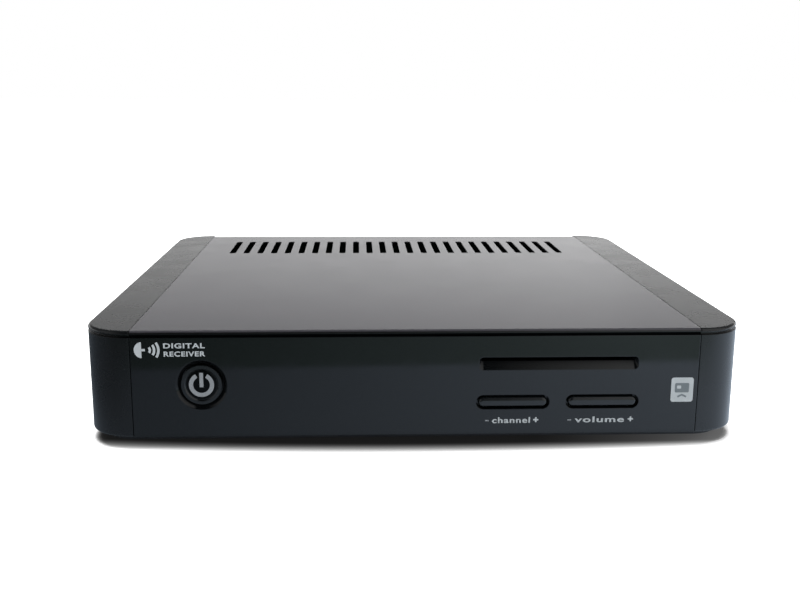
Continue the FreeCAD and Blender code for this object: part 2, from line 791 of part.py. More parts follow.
def left_cheek():
    """A moulded side of the case that wraps both corners, with a groove below its top edge."""
    body = new_body("left_cheek")
    sketch = draw_on(body, "cheek_outline", "XY_Plane", SKIRT)
    draw_rounded(sketch, -SIDE, SIDE, FRONT, BACK, size.corner_radius)
    extrude(body, "Pad", sketch, TOP - SKIRT)
    sketch = draw_on(body, "cheek_inside", "XY_Plane", TOP - size.cheek_top)
    wall = size.cheek_wall
    draw_rounded(sketch, -SIDE + wall, SIDE - wall, FRONT + wall, BACK - wall, size.corner_radius - wall)
    extrude(body, "Pocket", sketch, TOP - size.cheek_top - SKIRT - size.cheek_flange)
    sketch = draw_on(body, "cheek_groove", "XY_Plane", HEM_BOTTOM)
    wall = size.groove_depth
    draw_rounded(sketch, -SIDE - wall, SIDE + wall, FRONT - wall, BACK + wall, size.corner_radius + wall)
    draw_rounded(sketch, -SIDE + wall, SIDE - wall, FRONT + wall, BACK - wall, size.corner_radius - wall)
    extrude(body, "Pocket", sketch, size.groove_height)
    sketch = draw_on(body, "beyond_seam", "XY_Plane", TOP)
    draw_box(sketch, -SEAM - size.seam_gap / 2, SIDE + wall, FRONT - wall, BACK + wall)
    extrude(body, "Pocket", sketch, TOP - SKIRT)
    sketch = draw_on(body, "cheek_bosses", "XY_Plane", SKIRT)
    for x, y in CHEEK_BOSSES:
        draw_circle(sketch, x, y, size.boss_radius)
    extrude(body, "Pad", sketch, SKIRT - FLOOR_TOP, reverse=True)
    sketch = draw_on(body, "cheek_pilots", "XY_Plane", FLOOR_TOP)
    for x, y in CHEEK_BOSSES:
        draw_circle(sketch, x, y, size.screw_shank)
    extrude(body, "Pocket", sketch, size.screw_length, reverse=True)
    round_edges(body, size.edge_round, is_outer_top)
    round_edges(body, size.skirt_round, is_outer_skirt)
    return finish("left_cheek", body)


def is_outer(edge):
    """Whether an edge runs round the outside of a cheek, away from the seam."""
    box = edge.BoundBox
    reach = (abs(box.XMin + SIDE.value), abs(box.YMin - FRONT.value), abs(box.YMax - BACK.value))
    return min(reach) < TOUCH and box.XMin < -(SEAM + size.seam_gap).value


def is_outer_top(edge):
    """Whether an edge is part of a cheek's outer top edge."""
    return lies_at(edge, "Z", TOP) and is_outer(edge)


def is_outer_skirt(edge):
    """Whether an edge is part of a cheek's outer lower edge."""
    return lies_at(edge, "Z", SKIRT) and is_outer(edge)


def right_cheek(left):
    """The left cheek mirrored across the middle of the case."""
    thing = doc.addObject("Part::Mirroring", "right_cheek")
    thing.Source = left
    thing.Normal = Vector(1, 0, 0)
    return finish("right_cheek", thing)


def front_fascia():
    """A gloss front with a flange above and below, and all that guides the buttons and the card."""
    body = new_body("front_fascia")
    flange = size.fascia_flange
    ledge = FRONT + size.groove_depth
    top_back = ledge + size.top_flange_depth
    sketch = draw_on(body, "fascia_profile", "YZ_Plane", 0)
    draw_polygon(sketch, [
        (FRONT, SKIRT),
        (FRONT_BOARD + size.board_sheet, SKIRT),
        (FRONT_BOARD + size.board_sheet, SKIRT + flange),
        (WALL_BACK, SKIRT + flange),
        (WALL_BACK, HEM_BOTTOM - flange),
        (top_back, HEM_BOTTOM - flange),
        (top_back, HEM_BOTTOM),
        (ledge, HEM_BOTTOM),
        (ledge, FACE_TOP),
        (FRONT, FACE_TOP),
    ])
    extrude(body, "Pad", sketch, MIDDLE_HALF * 2, both_ways=True)
    sketch = draw_on(body, "slot_shroud", "XZ_Plane", -WALL_BACK)
    wall = size.shroud_wall
    reach = MOUTH_HALF + wall
    draw_box(sketch, SLOT_X - reach, SLOT_X + reach, MOUTH_LOW - wall, SLOT_HIGH + wall)
    extrude(body, "Pad", sketch, size.shroud_depth, reverse=True)
    sketch = draw_on(body, "power_guide", "XZ_Plane", -WALL_BACK)
    guide = size.power_flange_radius + size.guide_gap
    draw_circle(sketch, POWER_X, POWER_Z, guide + size.guide_wall)
    draw_circle(sketch, POWER_X, POWER_Z, guide)
    extrude(body, "Pad", sketch, size.guide_depth, reverse=True)
    sketch = draw_on(body, "pivot_ears", "XZ_Plane", -WALL_BACK)
    for x in (CHANNEL_X, VOLUME_X):
        left, right = x - size.ear_half_width, x + size.ear_half_width
        draw_box(sketch, left, right, ROCKER_Z + EAR_NEAR, ROCKER_Z + EAR_FAR)
        draw_box(sketch, left, right, ROCKER_Z - EAR_FAR, ROCKER_Z - EAR_NEAR)
    extrude(body, "Pad", sketch, PIVOT_Y + size.pivot_block - WALL_BACK, reverse=True)
    sketch = draw_on(body, "board_bosses", "XZ_Plane", -WALL_BACK)
    for x, z in FRONT_HOLES:
        draw_circle(sketch, x, z, size.boss_radius)
    extrude(body, "Pad", sketch, FRONT_BOARD - WALL_BACK, reverse=True)
    sketch = draw_on(body, "fascia_bosses", "XY_Plane", SKIRT)
    for x, y in FASCIA_BOSSES:
        draw_circle(sketch, x, y, size.boss_radius)
    extrude(body, "Pad", sketch, SKIRT - FLOOR_TOP, reverse=True)
    sketch = draw_on(body, "board_pilots", "XZ_Plane", -FRONT_BOARD)
    for x, z in FRONT_HOLES:
        draw_circle(sketch, x, z, size.screw_shank)
    extrude(body, "Pocket", sketch, size.screw_length, reverse=True)
    sketch = draw_on(body, "fascia_pilots", "XY_Plane", FLOOR_TOP)
    for x, y in FASCIA_BOSSES:
        draw_circle(sketch, x, y, size.screw_shank)
    extrude(body, "Pocket", sketch, SKIRT + flange - FLOOR_TOP, reverse=True)
    sketch = draw_on(body, "pivot_bores", "XY_Plane", ROCKER_Z)
    for x in (CHANNEL_X, VOLUME_X):
        draw_circle(sketch, x, PIVOT_Y, size.pivot_radius + size.pivot_clearance)
    extrude(body, "Pocket", sketch, EAR_FAR * 2, both_ways=True)
    sketch = draw_on(body, "button_openings", "XZ_Plane", -FRONT)
    draw_circle(sketch, POWER_X, POWER_Z, size.power_radius + size.power_gap)
    around = size.rocker_gap * 2
    for x in (CHANNEL_X, VOLUME_X):
        draw_stadium(sketch, x, ROCKER_Z, size.rocker_length + around, size.rocker_height + around)
    extrude(body, "Pocket", sketch, size.fascia_wall)
    sketch = draw_on(body, "card_slit", "XZ_Plane", -FRONT)
    draw_box(sketch, SLOT_X - SLIT_HALF, SLOT_X + SLIT_HALF, SLOT_LOW, SLOT_HIGH)
    extrude(body, "Pocket", sketch, SHROUD_BACK - FRONT)
    power_ring(body)
    card_funnel(body)
    return finish("front_fascia", body)


def power_ring(body):
    """The dark ring round the power button: a cone that narrows to the button's hole."""
    feature = body.newObject("PartDesign::SubtractiveCone", "power_ring")
    feature.Placement = Placement(Vector(), AXIS_TURN["Y"])
    settle(feature, POWER_X, FRONT, POWER_Z)
    tie(feature, "Radius1", size.power_ring)
    tie(feature, "Radius2", size.power_radius + size.power_gap)
    tie(feature, "Height", size.power_ring_depth)
    body.Tip = feature


def card_funnel(body):
    """The mouth of the card slot, which narrows from below and from both ends to the slit."""
    front = draw_on(body, "mouth_front", "XZ_Plane", -FRONT)
    draw_rounded(front, SLOT_X - MOUTH_HALF, SLOT_X + MOUTH_HALF, MOUTH_LOW, SLOT_HIGH, size.mouth_round)
    back = draw_on(body, "mouth_back", "XZ_Plane", -FRONT - size.funnel_depth)
    draw_rounded(back, SLOT_X - SLIT_HALF, SLOT_X + SLIT_HALF, SLOT_LOW, SLOT_HIGH, size.slit_round)
    feature = body.newObject("PartDesign::SubtractiveLoft", "card_funnel")
    feature.Profile = front
    feature.Sections = [back]
    body.Tip = feature


def feet():
    """Four rubber feet, each a low disc with a chamfered lower edge."""
    for end, across in (("front", FRONT + size.foot_inset), ("rear", BACK - size.foot_inset)):
        for side, sign in (("left", -1), ("right", 1)):
            x = (SIDE - size.foot_inset) * sign
            name = f"foot_{end}_{side}"
            span = (size.foot_chamfer, size.foot_height)
            wide = rod(f"{name}_disc", "Z", (x, across), span, size.foot_radius)
            tread = doc.addObject("Part::Cone", f"{name}_tread")
            settle(tread, x, across, 0)
            tie(tread, "Radius1", size.foot_radius - size.foot_chamfer)
            tie(tread, "Radius2", size.foot_radius)
            tie(tread, "Height", size.foot_chamfer)
            finish(name, join(name, wide, tread))


def screw(name, axis, centre, seat, direction):
    """A round-headed screw whose head lies on a seat and whose shank runs in the given direction."""
    height, length = size.screw_head_height, size.screw_length
    head = (seat - height, seat) if direction > 0 else (seat, seat + height)
    shank = (seat, seat + length) if direction > 0 else (seat - length, seat)
    return join(
        name,
        rod(f"{name}_head", axis, centre, head, size.screw_head),
        rod(f"{name}_shank", axis, centre, shank, size.screw_shank),
    )


def case_screws():
    """The screws that hold the cover at the back, and the fascia and cheeks from below."""
    behind = [screw("cover_screw", "Y", place, BACK, -1) for place in COVER_SCREWS]
    finish("cover_screws", gather("cover_screws", behind))
    below = FASCIA_BOSSES + CHEEK_BOSSES + [(-x, y) for x, y in CHEEK_BOSSES]
    under = [screw("base_screw", "Z", place, TRAY_BOTTOM, 1) for place in below]
    finish("base_screws", gather("base_screws", under))


# Buttons and their switches

def power_button():
    """A round button turned about its own axis: a dished cap, a flange and a post."""
    body = new_body("power_button")
    body.Placement = Placement(Vector(), Rotation(Vector(1, 0, 0), 90))
    settle(body, POWER_X, FRONT, POWER_Z)
    flange_front = size.fascia_wall + size.power_travel_gap
    flange_back = flange_front + size.button_flange
    post_end = PLUNGER_TIP - size.post_gap - FRONT
    sketch = draw_on(body, "power_profile", "XZ_Plane", 0)
    draw_polygon(sketch, [
        (0, -size.dish_depth),
        (0, -post_end),
        (size.power_post, -post_end),
        (size.power_post, -flange_back),
        (size.power_flange_radius, -flange_back),
        (size.power_flange_radius, -flange_front),
        (size.power_radius, -flange_front),
        (size.power_radius, 0),
        (size.dish_radius + size.dish_slope, 0),
        (size.dish_radius, -size.dish_depth),
    ])
    turned = body.newObject("PartDesign::Revolution", "power_turned")
    turned.Profile = sketch
    turned.ReferenceAxis = (sketch, ["V_Axis"])
    turned.Angle = 360
    body.Tip = turned
    return finish("power_button", body)


def rocker_button(label, x):
    """A slim rocker: a cap with round ends, a flange, two posts and the pins that it turns on."""
    body = new_body(label)
    cap_front = FRONT - size.rocker_proud
    flange_front = WALL_BACK + size.rocker_flange_gap
    flange_back = flange_front + size.button_flange
    margin = size.rocker_flange_margin * 2
    sketch = draw_on(body, f"{label}_cap", "XZ_Plane", -cap_front)
    draw_stadium(sketch, x, ROCKER_Z, size.rocker_length, size.rocker_height)
    extrude(body, "Pad", sketch, flange_front - cap_front, reverse=True)
    round_edges(body, size.rocker_edge_round, lambda edge: lies_at(edge, "Y", cap_front))
    sketch = draw_on(body, f"{label}_flange", "XZ_Plane", -flange_front)
    draw_stadium(sketch, x, ROCKER_Z, size.rocker_length + margin, size.rocker_height + margin)
    extrude(body, "Pad", sketch, size.button_flange, reverse=True)
    sketch = draw_on(body, f"{label}_posts", "XZ_Plane", -flange_back)
    for side in (-1, 1):
        draw_circle(sketch, x + ROCKER_THROW * side, ROCKER_Z, size.rocker_post)
    tip = PLUNGER_TIP + size.plunger_preload - size.post_gap
    extrude(body, "Pad", sketch, tip - flange_back, reverse=True)
    sketch = draw_on(body, f"{label}_hub", "XZ_Plane", -flange_back)
    reach = EAR_NEAR - size.ear_gap
    draw_box(sketch, x - size.pivot_block, x + size.pivot_block, ROCKER_Z - reach, ROCKER_Z + reach)
    extrude(body, "Pad", sketch, PIVOT_Y + size.pivot_block - flange_back, reverse=True)
    sketch = draw_on(body, f"{label}_pins", "XY_Plane", ROCKER_Z)
    draw_circle(sketch, x, PIVOT_Y, size.pivot_radius)
    extrude(body, "Pad", sketch, (EAR_FAR - size.ear_gap) * 2, both_ways=True)
    return finish(label, body)


def push_switch(label, x, z, preload):
    """A square push switch on the front board, with its plunger as a piece of its own."""
    half = size.switch_side / 2
    case = block(f"{label}_case", (x - half, x + half), (SWITCH_FACE, FRONT_BOARD), (z - half, z + half))
    well = (SWITCH_FACE, SWITCH_FACE + size.plunger_well)
    hole = rod(f"{label}_well", "Y", (x, z), well, size.plunger_radius + size.plunger_clearance)
    finish(f"{label}_switch", cut(f"{label}_switch", case, hole))
    tip = PLUNGER_TIP + preload
    stem = (tip, tip + size.plunger_proud + size.plunger_seat)
    finish(f"{label}_plunger", rod(f"{label}_plunger", "Y", (x, z), stem, size.plunger_radius))


def controls():
    """The three buttons and the five switches behind them."""
    power_button()
    push_switch("power", POWER_X, POWER_Z, as_length(0))
    for name, x in (("channel", CHANNEL_X), ("volume", VOLUME_X)):
        rocker_button(f"{name}_button", x)
        push_switch(f"{name}_down", x - ROCKER_THROW, ROCKER_Z, size.plunger_preload)
        push_switch(f"{name}_up", x + ROCKER_THROW, ROCKER_Z, size.plunger_preload)


# Boards and what they carry

def board(label, role, offset, edges, holes):
    """A printed circuit board: a flat sheet with its screw holes."""
    body = new_body(label)
    sketch = draw_on(body, f"{label}_outline", role, offset)
    draw_box(sketch, *edges)
    for x, y in holes:
        draw_circle(sketch, x, y, size.screw_shank + size.panel_clearance)
    extrude(body, "Pad", sketch, size.board_sheet, reverse=role == "XZ_Plane")
    return finish(label, body)


def boards():
    """The main board, the board behind the fascia and the card reader's board."""
    main_edges = (-BOARD_HALF, BOARD_HALF, BOARD_FRONT, BOARD_BACK)
    board("main_board", "XY_Plane", BOARD_BOTTOM, main_edges, MAIN_HOLES)
    front_edges = (-FRONT_BOARD_HALF, FRONT_BOARD_HALF, FRONT_BOARD_BOTTOM, FRONT_BOARD_TOP)
    board("front_board", "XZ_Plane", -FRONT_BOARD, front_edges, FRONT_HOLES)
    card_edges = (SLOT_X - CARD_BOARD_HALF, SLOT_X + CARD_BOARD_HALF, CARD_BOARD_FRONT, CARD_BOARD_BACK)
    board("card_board", "XY_Plane", CARD_BOARD_BOTTOM, card_edges, CARD_HOLES)
    behind = FRONT_BOARD + size.board_sheet
    screws = [screw("main_screw", "Z", place, BOARD_TOP, -1) for place in MAIN_HOLES]
    screws += [screw("card_screw", "Z", place, CARD_BOARD_TOP, -1) for place in CARD_HOLES]
    screws += [screw("front_screw", "Y", place, behind, -1) for place in FRONT_HOLES]
    finish("board_screws", gather("board_screws", screws))


def card_standoffs():
    """Four tall six-sided pillars, tapped at both ends, that carry the card reader's board."""
    pillars = []
    for x, y in CARD_HOLES:
        bar = hexagon("card_pillar", "Z", (x, y), (FLOOR_TOP, CARD_BOARD_BOTTOM), size.standoff_radius)
        bore = rod("card_pillar_bore", "Z", (x, y), (FLOOR_TOP, CARD_BOARD_BOTTOM), size.screw_shank)
        pillars.append(cut("card_standoff", bar, bore))
    finish("card_standoffs", gather("card_standoffs", pillars))


def card_reader():
    """A flat frame that takes the card from the slit, open above its contacts."""
    across = (SLOT_X - READER_HALF, SLOT_X + READER_HALF)
    height = (CARD_BOARD_TOP, SLOT_HIGH + size.reader_roof)
    frame = block("reader_frame", across, (SHROUD_BACK, READER_BACK), height)
    way_in = (SHROUD_BACK, READER_BACK - size.reader_stop)
    path = block("reader_path", (SLOT_X - SLIT_HALF, SLOT_X + SLIT_HALF), way_in, (SLOT_LOW, SLOT_HIGH))
    middle = (SHROUD_BACK + READER_BACK) / 2
    half = size.reader_window / 2
    window = block(
        "reader_window", (SLOT_X - half, SLOT_X + half), (middle - half, middle + half),
        (SLOT_HIGH, SLOT_HIGH + size.reader_roof),
    )
    finish("card_reader", cut("card_reader", frame, path, window))
    contacts = []
    columns = SIZES["contact_columns"]
    for column in range(columns):
        x = SLOT_X + size.contact_pitch * (column - (columns - 1) / 2)
        for line in (0, 1):
            y = SHROUD_BACK + size.contact_setback + size.contact_row * line
            contacts.append(block(
                "card_contact", (x - size.contact_width / 2, x + size.contact_width / 2),
                (y, y + size.contact_length), (SLOT_LOW, SLOT_LOW + size.contact_height),
            ))
    finish("card_contacts", gather("card_contacts", contacts))


def ribbon():
    """A flat ribbon from the front board to the main board, and the socket at each end."""
    behind = FRONT_BOARD + size.board_sheet
    low = BOARD_TOP + size.ribbon_height
    half = size.ribbon_width / 2
    side = size.ribbon_socket_side
    across = (size.ribbon_x - half, size.ribbon_x + half)
    ends = (behind + side - size.ribbon_grip, BOARD_FRONT + size.ribbon_grip)
    finish("ribbon_cable", block("ribbon_cable", across, ends, (low, low + size.ribbon_sheet)))
    around = (across[0] - size.ribbon_socket_wall, across[1] + size.ribbon_socket_wall)
    front_shell = block("ribbon_front", around, (behind, behind + side), (BOARD_TOP, BOARD_TOP + side))
    behind_edge = (BOARD_FRONT, BOARD_FRONT + side)
    rear_shell = block("ribbon_rear", around, behind_edge, (BOARD_TOP, BOARD_TOP + side))
    sockets = []
    for end, shell in (("front", front_shell), ("rear", rear_shell)):
        slot = block(f"ribbon_{end}_slot", across, ends, (low, low + size.ribbon_sheet))
        sockets.append(cut(f"ribbon_{end}_socket", shell, slot))
    finish("ribbon_sockets", gather("ribbon_sockets", sockets))


def front_eye_and_lamp():
    """The remote control's receiver and the standby lamp, both on the front board."""
    x = POWER_X + size.eye_spacing
    half = size.eye_side / 2
    deep = (FRONT_BOARD - size.eye_depth, FRONT_BOARD)
    case = block("eye_case", (x - half, x + half), deep, (POWER_Z - half, POWER_Z + half))
    dome = doc.addObject("Part::Sphere", "eye_dome")
    tie(dome, "Radius", size.eye_dome)
    settle(dome, x, FRONT_BOARD - size.eye_depth, POWER_Z)
    finish("remote_eye", join("remote_eye", case, dome))
    x = x + size.lamp_spacing
    span = (FRONT_BOARD - size.lamp_length, FRONT_BOARD)
    stem = rod("lamp_stem", "Y", (x, POWER_Z), span, size.lamp_radius)
    tip = doc.addObject("Part::Sphere", "lamp_tip")
    tie(tip, "Radius", size.lamp_radius)
    settle(tip, x, FRONT_BOARD - size.lamp_length, POWER_Z)
    finish("standby_lamp", join("standby_lamp", stem, tip))


def board_parts():
    """The decoder with its heat sink, the memory and the row of capacitors."""
    x, y = size.chip_x, BOARD_FRONT + size.chip_from_front
    half = size.chip_side / 2
    chip_top = BOARD_TOP + size.chip_height
    chip = block("decoder_chip", (x - half, x + half), (y - half, y + half), (BOARD_TOP, chip_top))
    finish("decoder_chip", chip)
    half = size.sink_side / 2
    base_top = chip_top + size.sink_base
    along = (y - half, y + half)
    slabs = [block("sink_base", (x - half, x + half), along, (chip_top, base_top))]
    fin_height = (base_top, chip_top + size.sink_height)
    fins = SIZES["sink_fins"]
    for place in range(fins):
        left = x - half + (size.sink_side - size.sink_fin) * place / (fins - 1)
        slabs.append(block("sink_fin", (left, left + size.sink_fin), along, fin_height))
    finish("heat_sink", join("heat_sink", *slabs))
    chips = []
    right = x + half + size.memory_gap
    for side in (0, 1):
        low = y - half + (size.memory_length + size.memory_gap / 2) * side
        chips.append(block(
            "memory_chip", (right, right + size.memory_width), (low, low + size.memory_length),
            (BOARD_TOP, BOARD_TOP + size.memory_height),
        ))
    finish("memory_chips", gather("memory_chips", chips))
    cans = []
    upright = (BOARD_TOP, BOARD_TOP + size.capacitor_height)
    for place in range(SIZES["capacitor_count"]):
        x = -BOARD_HALF + size.capacitor_from_left + size.capacitor_pitch * place
        spot = (x, BOARD_FRONT + size.capacitor_from_front)
        cans.append(rod("capacitor", "Z", spot, upright, size.capacitor_radius))
    finish("capacitors", gather("capacitors", cans))


# Sockets along the rear wall

def tuner():
    """A shielding can on the main board, with its two threaded aerial sockets and their nuts."""
    can_back = PANEL_FRONT - size.aerial_collar_depth
    can_front = can_back - size.tuner_depth
    wall = size.tuner_wall
    can_top = BOARD_TOP + size.tuner_height
    shell = block("tuner_shell", (TUNER_LEFT, TUNER_RIGHT), (can_front, can_back), (BOARD_TOP, can_top))
    hollow = block(
        "tuner_hollow", (TUNER_LEFT + wall, TUNER_RIGHT - wall), (can_front + wall, can_back - wall),
        (BOARD_TOP, can_top - wall),
    )
    finish("tuner_can", cut("tuner_can", shell, hollow))
    tip = LIP_FRONT + size.aerial_length
    floor = tip - size.aerial_bore_depth
    nut_end = LIP_FRONT + size.nut_height
    inserts = []
    nuts = []
    for label, x in zip(("aerial_socket_in", "aerial_socket_out"), AERIALS):
        centre = (x, AERIAL_Z)
        collar = rod(f"{label}_collar", "Y", centre, (can_back, PANEL_FRONT), size.aerial_collar)
        root = rod(f"{label}_root", "Y", centre, (can_back, nut_end), size.aerial_root)
        barrel = rod(f"{label}_barrel", "Y", centre, (nut_end, tip), size.aerial_thread)
        bore = rod(f"{label}_bore", "Y", centre, (floor, tip), size.aerial_bore)
        finish(label, cut(label, join(f"{label}_body", collar, root, barrel), bore))
        face = tip - size.aerial_insert_recess
        core = rod("aerial_core", "Y", centre, (floor, face), size.aerial_bore)
        hole = (floor + size.aerial_insert_floor, face)
        pinhole = rod("aerial_pinhole", "Y", centre, hole, size.aerial_pinhole)
        inserts.append(cut("aerial_insert", core, pinhole))
        span = (LIP_FRONT, nut_end)
        nut = hexagon("aerial_nut_blank", "Y", centre, span, size.nut_radius)
        nuts.append(cut("aerial_nut", nut, rod("aerial_nut_bore", "Y", centre, span, size.aerial_root)))
    finish("aerial_inserts", gather("aerial_inserts", inserts))
    finish("aerial_nuts", gather("aerial_nuts", nuts))


def phono_sockets():
    """A block with three phono sockets, each a coloured insert inside a metal shell."""
    block_left = PHONOS[0] - size.phono_collar
    block_right = PHONOS[-1] + size.phono_collar
    depth = (PANEL_FRONT - size.phono_block_depth, PANEL_FRONT)
    height = (BOARD_TOP, BOARD_TOP + size.phono_block_height)
    finish("phono_block", block("phono_block", (block_left, block_right), depth, height))
    root = PANEL_FRONT + size.phono_base
    tip = LIP_FRONT + size.phono_shell_length
    inner = size.phono_shell - size.phono_shell_wall
    shells = []
    for label, x in zip(("video_insert", "left_audio_insert", "right_audio_insert"), PHONOS):
        centre = (x, PHONO_Z)
        ring_end = LIP_FRONT + size.phono_collar_length
        ring = rod(f"{label}_ring", "Y", centre, (PANEL_FRONT, ring_end), size.phono_collar)
        stem = size.phono_shell - size.phono_shell_step
        trench = rod(f"{label}_trench", "Y", centre, (root, ring_end), stem)
        core_end = tip - size.phono_core_recess
        core = rod(f"{label}_core", "Y", centre, (PANEL_FRONT, core_end), inner)
        hole = (core_end - size.phono_hole_depth, core_end)
        solid = join(f"{label}_solid", cut(f"{label}_dish", ring, trench), core)
        finish(label, cut(label, solid, rod(f"{label}_hole", "Y", centre, hole, size.phono_hole)))
        stub = rod("phono_stub", "Y", centre, (root, ring_end), stem)
        barrel = rod("phono_barrel", "Y", centre, (ring_end, tip), size.phono_shell)
        outer = join("phono_outer", stub, barrel)
        shells.append(cut("phono_shell", outer, rod("phono_inner", "Y", centre, (root, tip), inner)))
    finish("phono_shells", gather("phono_shells", shells))


def socket_case(name, x, width, height, depth):
    """The outer block of a socket that stands on the main board and looks out of the rear wall."""
    deep = (SOCKET_BACK - depth, SOCKET_BACK)
    return block(name, (x - width / 2, x + width / 2), deep, (BOARD_TOP, BOARD_TOP + height))


def network_socket():
    """A network socket with a latch notch above its cavity and eight contacts on its floor."""
    outer = (size.network_width, size.network_height, size.network_depth)
    case = socket_case("network_case", NETWORK_X, *outer)
    rim = (size.network_height - size.network_cavity_height - size.network_latch_height) / 2
    low = BOARD_TOP + rim
    high = low + size.network_cavity_height
    depth = (SOCKET_BACK - size.network_cavity_depth, SOCKET_BACK)
    half = size.network_cavity_width / 2
    cavity = block("network_cavity", (NETWORK_X - half, NETWORK_X + half), depth, (low, high))
    half = size.network_latch_width / 2
    latch = (high, high + size.network_latch_height)
    notch = block("network_notch", (NETWORK_X - half, NETWORK_X + half), depth, latch)
    finish("network_socket", cut("network_socket", case, cavity, notch))
    pins = []
    for place in range(SIZES["network_pins"]):
        x = NETWORK_X + size.network_pin_pitch * (place - (SIZES["network_pins"] - 1) / 2)
        half = size.network_pin_width / 2
        pins.append(block(
            "network_pin", (x - half, x + half), (depth[0], depth[0] + size.network_pin_length),
            (low, low + size.network_pin_height),
        ))
    finish("network_contacts", gather("network_contacts", pins))


def data_and_video_sockets():
    """The two metal-shelled sockets, and the plastic tongue inside each."""
    wall = size.data_wall
    case = socket_case("data_case", DATA_X, size.data_width, size.data_height, size.data_depth)
    half = size.data_width / 2 - wall
    back_wall = SOCKET_BACK - size.data_depth + wall
    hollow = block(
        "data_hollow", (DATA_X - half, DATA_X + half), (back_wall, SOCKET_BACK),
        (BOARD_TOP + wall, BOARD_TOP + size.data_height - wall),
    )
    finish("data_socket", cut("data_socket", case, hollow))
    half = size.data_tongue_width / 2
    tongue_low = BOARD_TOP + size.data_height / 2
    data_tongue = block(
        "data_tongue", (DATA_X - half, DATA_X + half), (back_wall, back_wall + size.data_tongue_length),
        (tongue_low, tongue_low + size.data_tongue_height),
    )
    body = new_body("digital_video_socket")
    sketch = draw_on(body, "video_outline", "XZ_Plane", -SOCKET_BACK)
    video_outline(sketch, as_length(0))
    extrude(body, "Pad", sketch, size.video_depth)
    sketch = draw_on(body, "video_cavity", "XZ_Plane", -SOCKET_BACK)
    video_outline(sketch, size.video_wall)
    extrude(body, "Pocket", sketch, size.video_depth - size.video_wall, reverse=True)
    finish("digital_video_socket", body)
    half = size.video_tongue_width / 2
    back_wall = SOCKET_BACK - size.video_depth + size.video_wall
    middle = BOARD_TOP + size.video_height / 2
    video_tongue = block(
        "video_tongue", (VIDEO_X - half, VIDEO_X + half), (back_wall, back_wall + size.video_tongue_length),
        (middle - size.video_tongue_height / 2, middle + size.video_tongue_height / 2),
    )
    finish("socket_tongues", gather("socket_tongues", [data_tongue, video_tongue]))


def video_outline(sketch, inset):
    """The digital video socket's outline: a rectangle with its two lower corners cut off."""
    left = VIDEO_X - size.video_width / 2 + inset
    right = VIDEO_X + size.video_width / 2 - inset
    low = BOARD_TOP + inset
    high = BOARD_TOP + size.video_height - inset
    cut_off = size.video_chamfer
    draw_polygon(sketch, [
        (left + cut_off, low), (right - cut_off, low), (right, low + cut_off),
        (right, high), (left, high), (left, low + cut_off),
    ])


def optical_socket():
    """An optical socket and the flap behind its mouth, which a plug pushes inwards."""
    outer = (size.optical_width, size.optical_height, size.optical_depth)
    case = socket_case("optical_case", OPTICAL_X, *outer)
    half = size.optical_cavity / 2
    low, high = OPTICAL_Z - half, OPTICAL_Z + half
    cavity = block(
        "optical_cavity", (OPTICAL_X - half, OPTICAL_X + half),
        (SOCKET_BACK - size.optical_cavity_depth, SOCKET_BACK), (low, high),
    )
    pivot = (SOCKET_BACK - size.flap_setback, high - size.flap_pivot_drop)
    reach = half + size.flap_pivot_length
    bore_reach = reach + size.flap_clearance
    bore = rod(
        "optical_pivot_bore", "X", pivot, (OPTICAL_X - bore_reach, OPTICAL_X + bore_reach),
        size.flap_pivot + size.flap_clearance,
    )
    finish("optical_socket", cut("optical_socket", case, cavity, bore))
    side = half - size.flap_gap
    sheet_half = size.flap_sheet / 2
    leaf = block(
        "flap_leaf", (OPTICAL_X - side, OPTICAL_X + side), (pivot[0] - sheet_half, pivot[0] + sheet_half),
        (low + size.flap_gap, pivot[1]),
    )
    pin = rod("flap_pin", "X", pivot, (OPTICAL_X - reach, OPTICAL_X + reach), size.flap_pivot)
    finish("optical_flap", join("optical_flap", leaf, pin))


def sensor_jack():
    """A small round jack for an outboard remote control sensor."""
    half = size.sensor_width / 2
    case = block(
        "sensor_case", (SENSOR_X - half, SENSOR_X + half), (PANEL_FRONT - size.sensor_depth, PANEL_FRONT),
        (BOARD_TOP, BOARD_TOP + size.sensor_height),
    )
    centre = (SENSOR_X, SENSOR_Z)
    tip = LIP_FRONT + size.sensor_barrel_proud
    seat = PANEL_FRONT - size.sensor_barrel_seat
    barrel = rod("sensor_barrel", "Y", centre, (seat, tip), size.sensor_barrel)
    bore = rod("sensor_bore", "Y", centre, (tip - size.sensor_bore_depth, tip), size.sensor_bore)
    finish("sensor_jack", cut("sensor_jack", join("sensor_body", case, barrel), bore))


def power_inlet():
    """The low-voltage inlet, a square block with a round well, and the contact pin in the well."""
    case = socket_case("inlet_case", INLET_X, size.inlet_width, size.inlet_height, size.inlet_depth)
    centre = (INLET_X, INLET_Z)
    floor = SOCKET_BACK - size.inlet_bore_depth
    well = rod("inlet_well", "Y", centre, (floor, SOCKET_BACK), size.inlet_bore)
    finish("power_inlet", cut("power_inlet", case, well))
    pin = rod("inlet_pin", "Y", centre, (floor, SOCKET_BACK - size.inlet_pin_recess), size.inlet_pin)
    finish("inlet_pin", pin)


def build():
    """Makes every sub-part in the order in which the receiver is put together."""
    base_chassis()
    feet()
    boards()
    board_parts()
    tuner()
    phono_sockets()
    network_socket()
    data_and_video_sockets()
    optical_socket()
    sensor_jack()
    power_inlet()
    card_standoffs()
    card_reader()
    ribbon()
    front_eye_and_lamp()
    front_fascia()
    controls()
    right_cheek(left_cheek())
    top_cover()
    case_screws()
    doc.recompute()


def check():
    """Stops if any object of the document failed or any sub-part has no valid shape."""
    for thing in doc.Objects:
        if {"Invalid", "Error"} & set(thing.State):
            raise RuntimeError(f"{thing.Label} failed: {thing.State}")
    for thing in sub_parts:
        if thing.Shape.isNull() or not thing.Shape.isValid():
            raise RuntimeError(f"{thing.Label} has no valid shape")


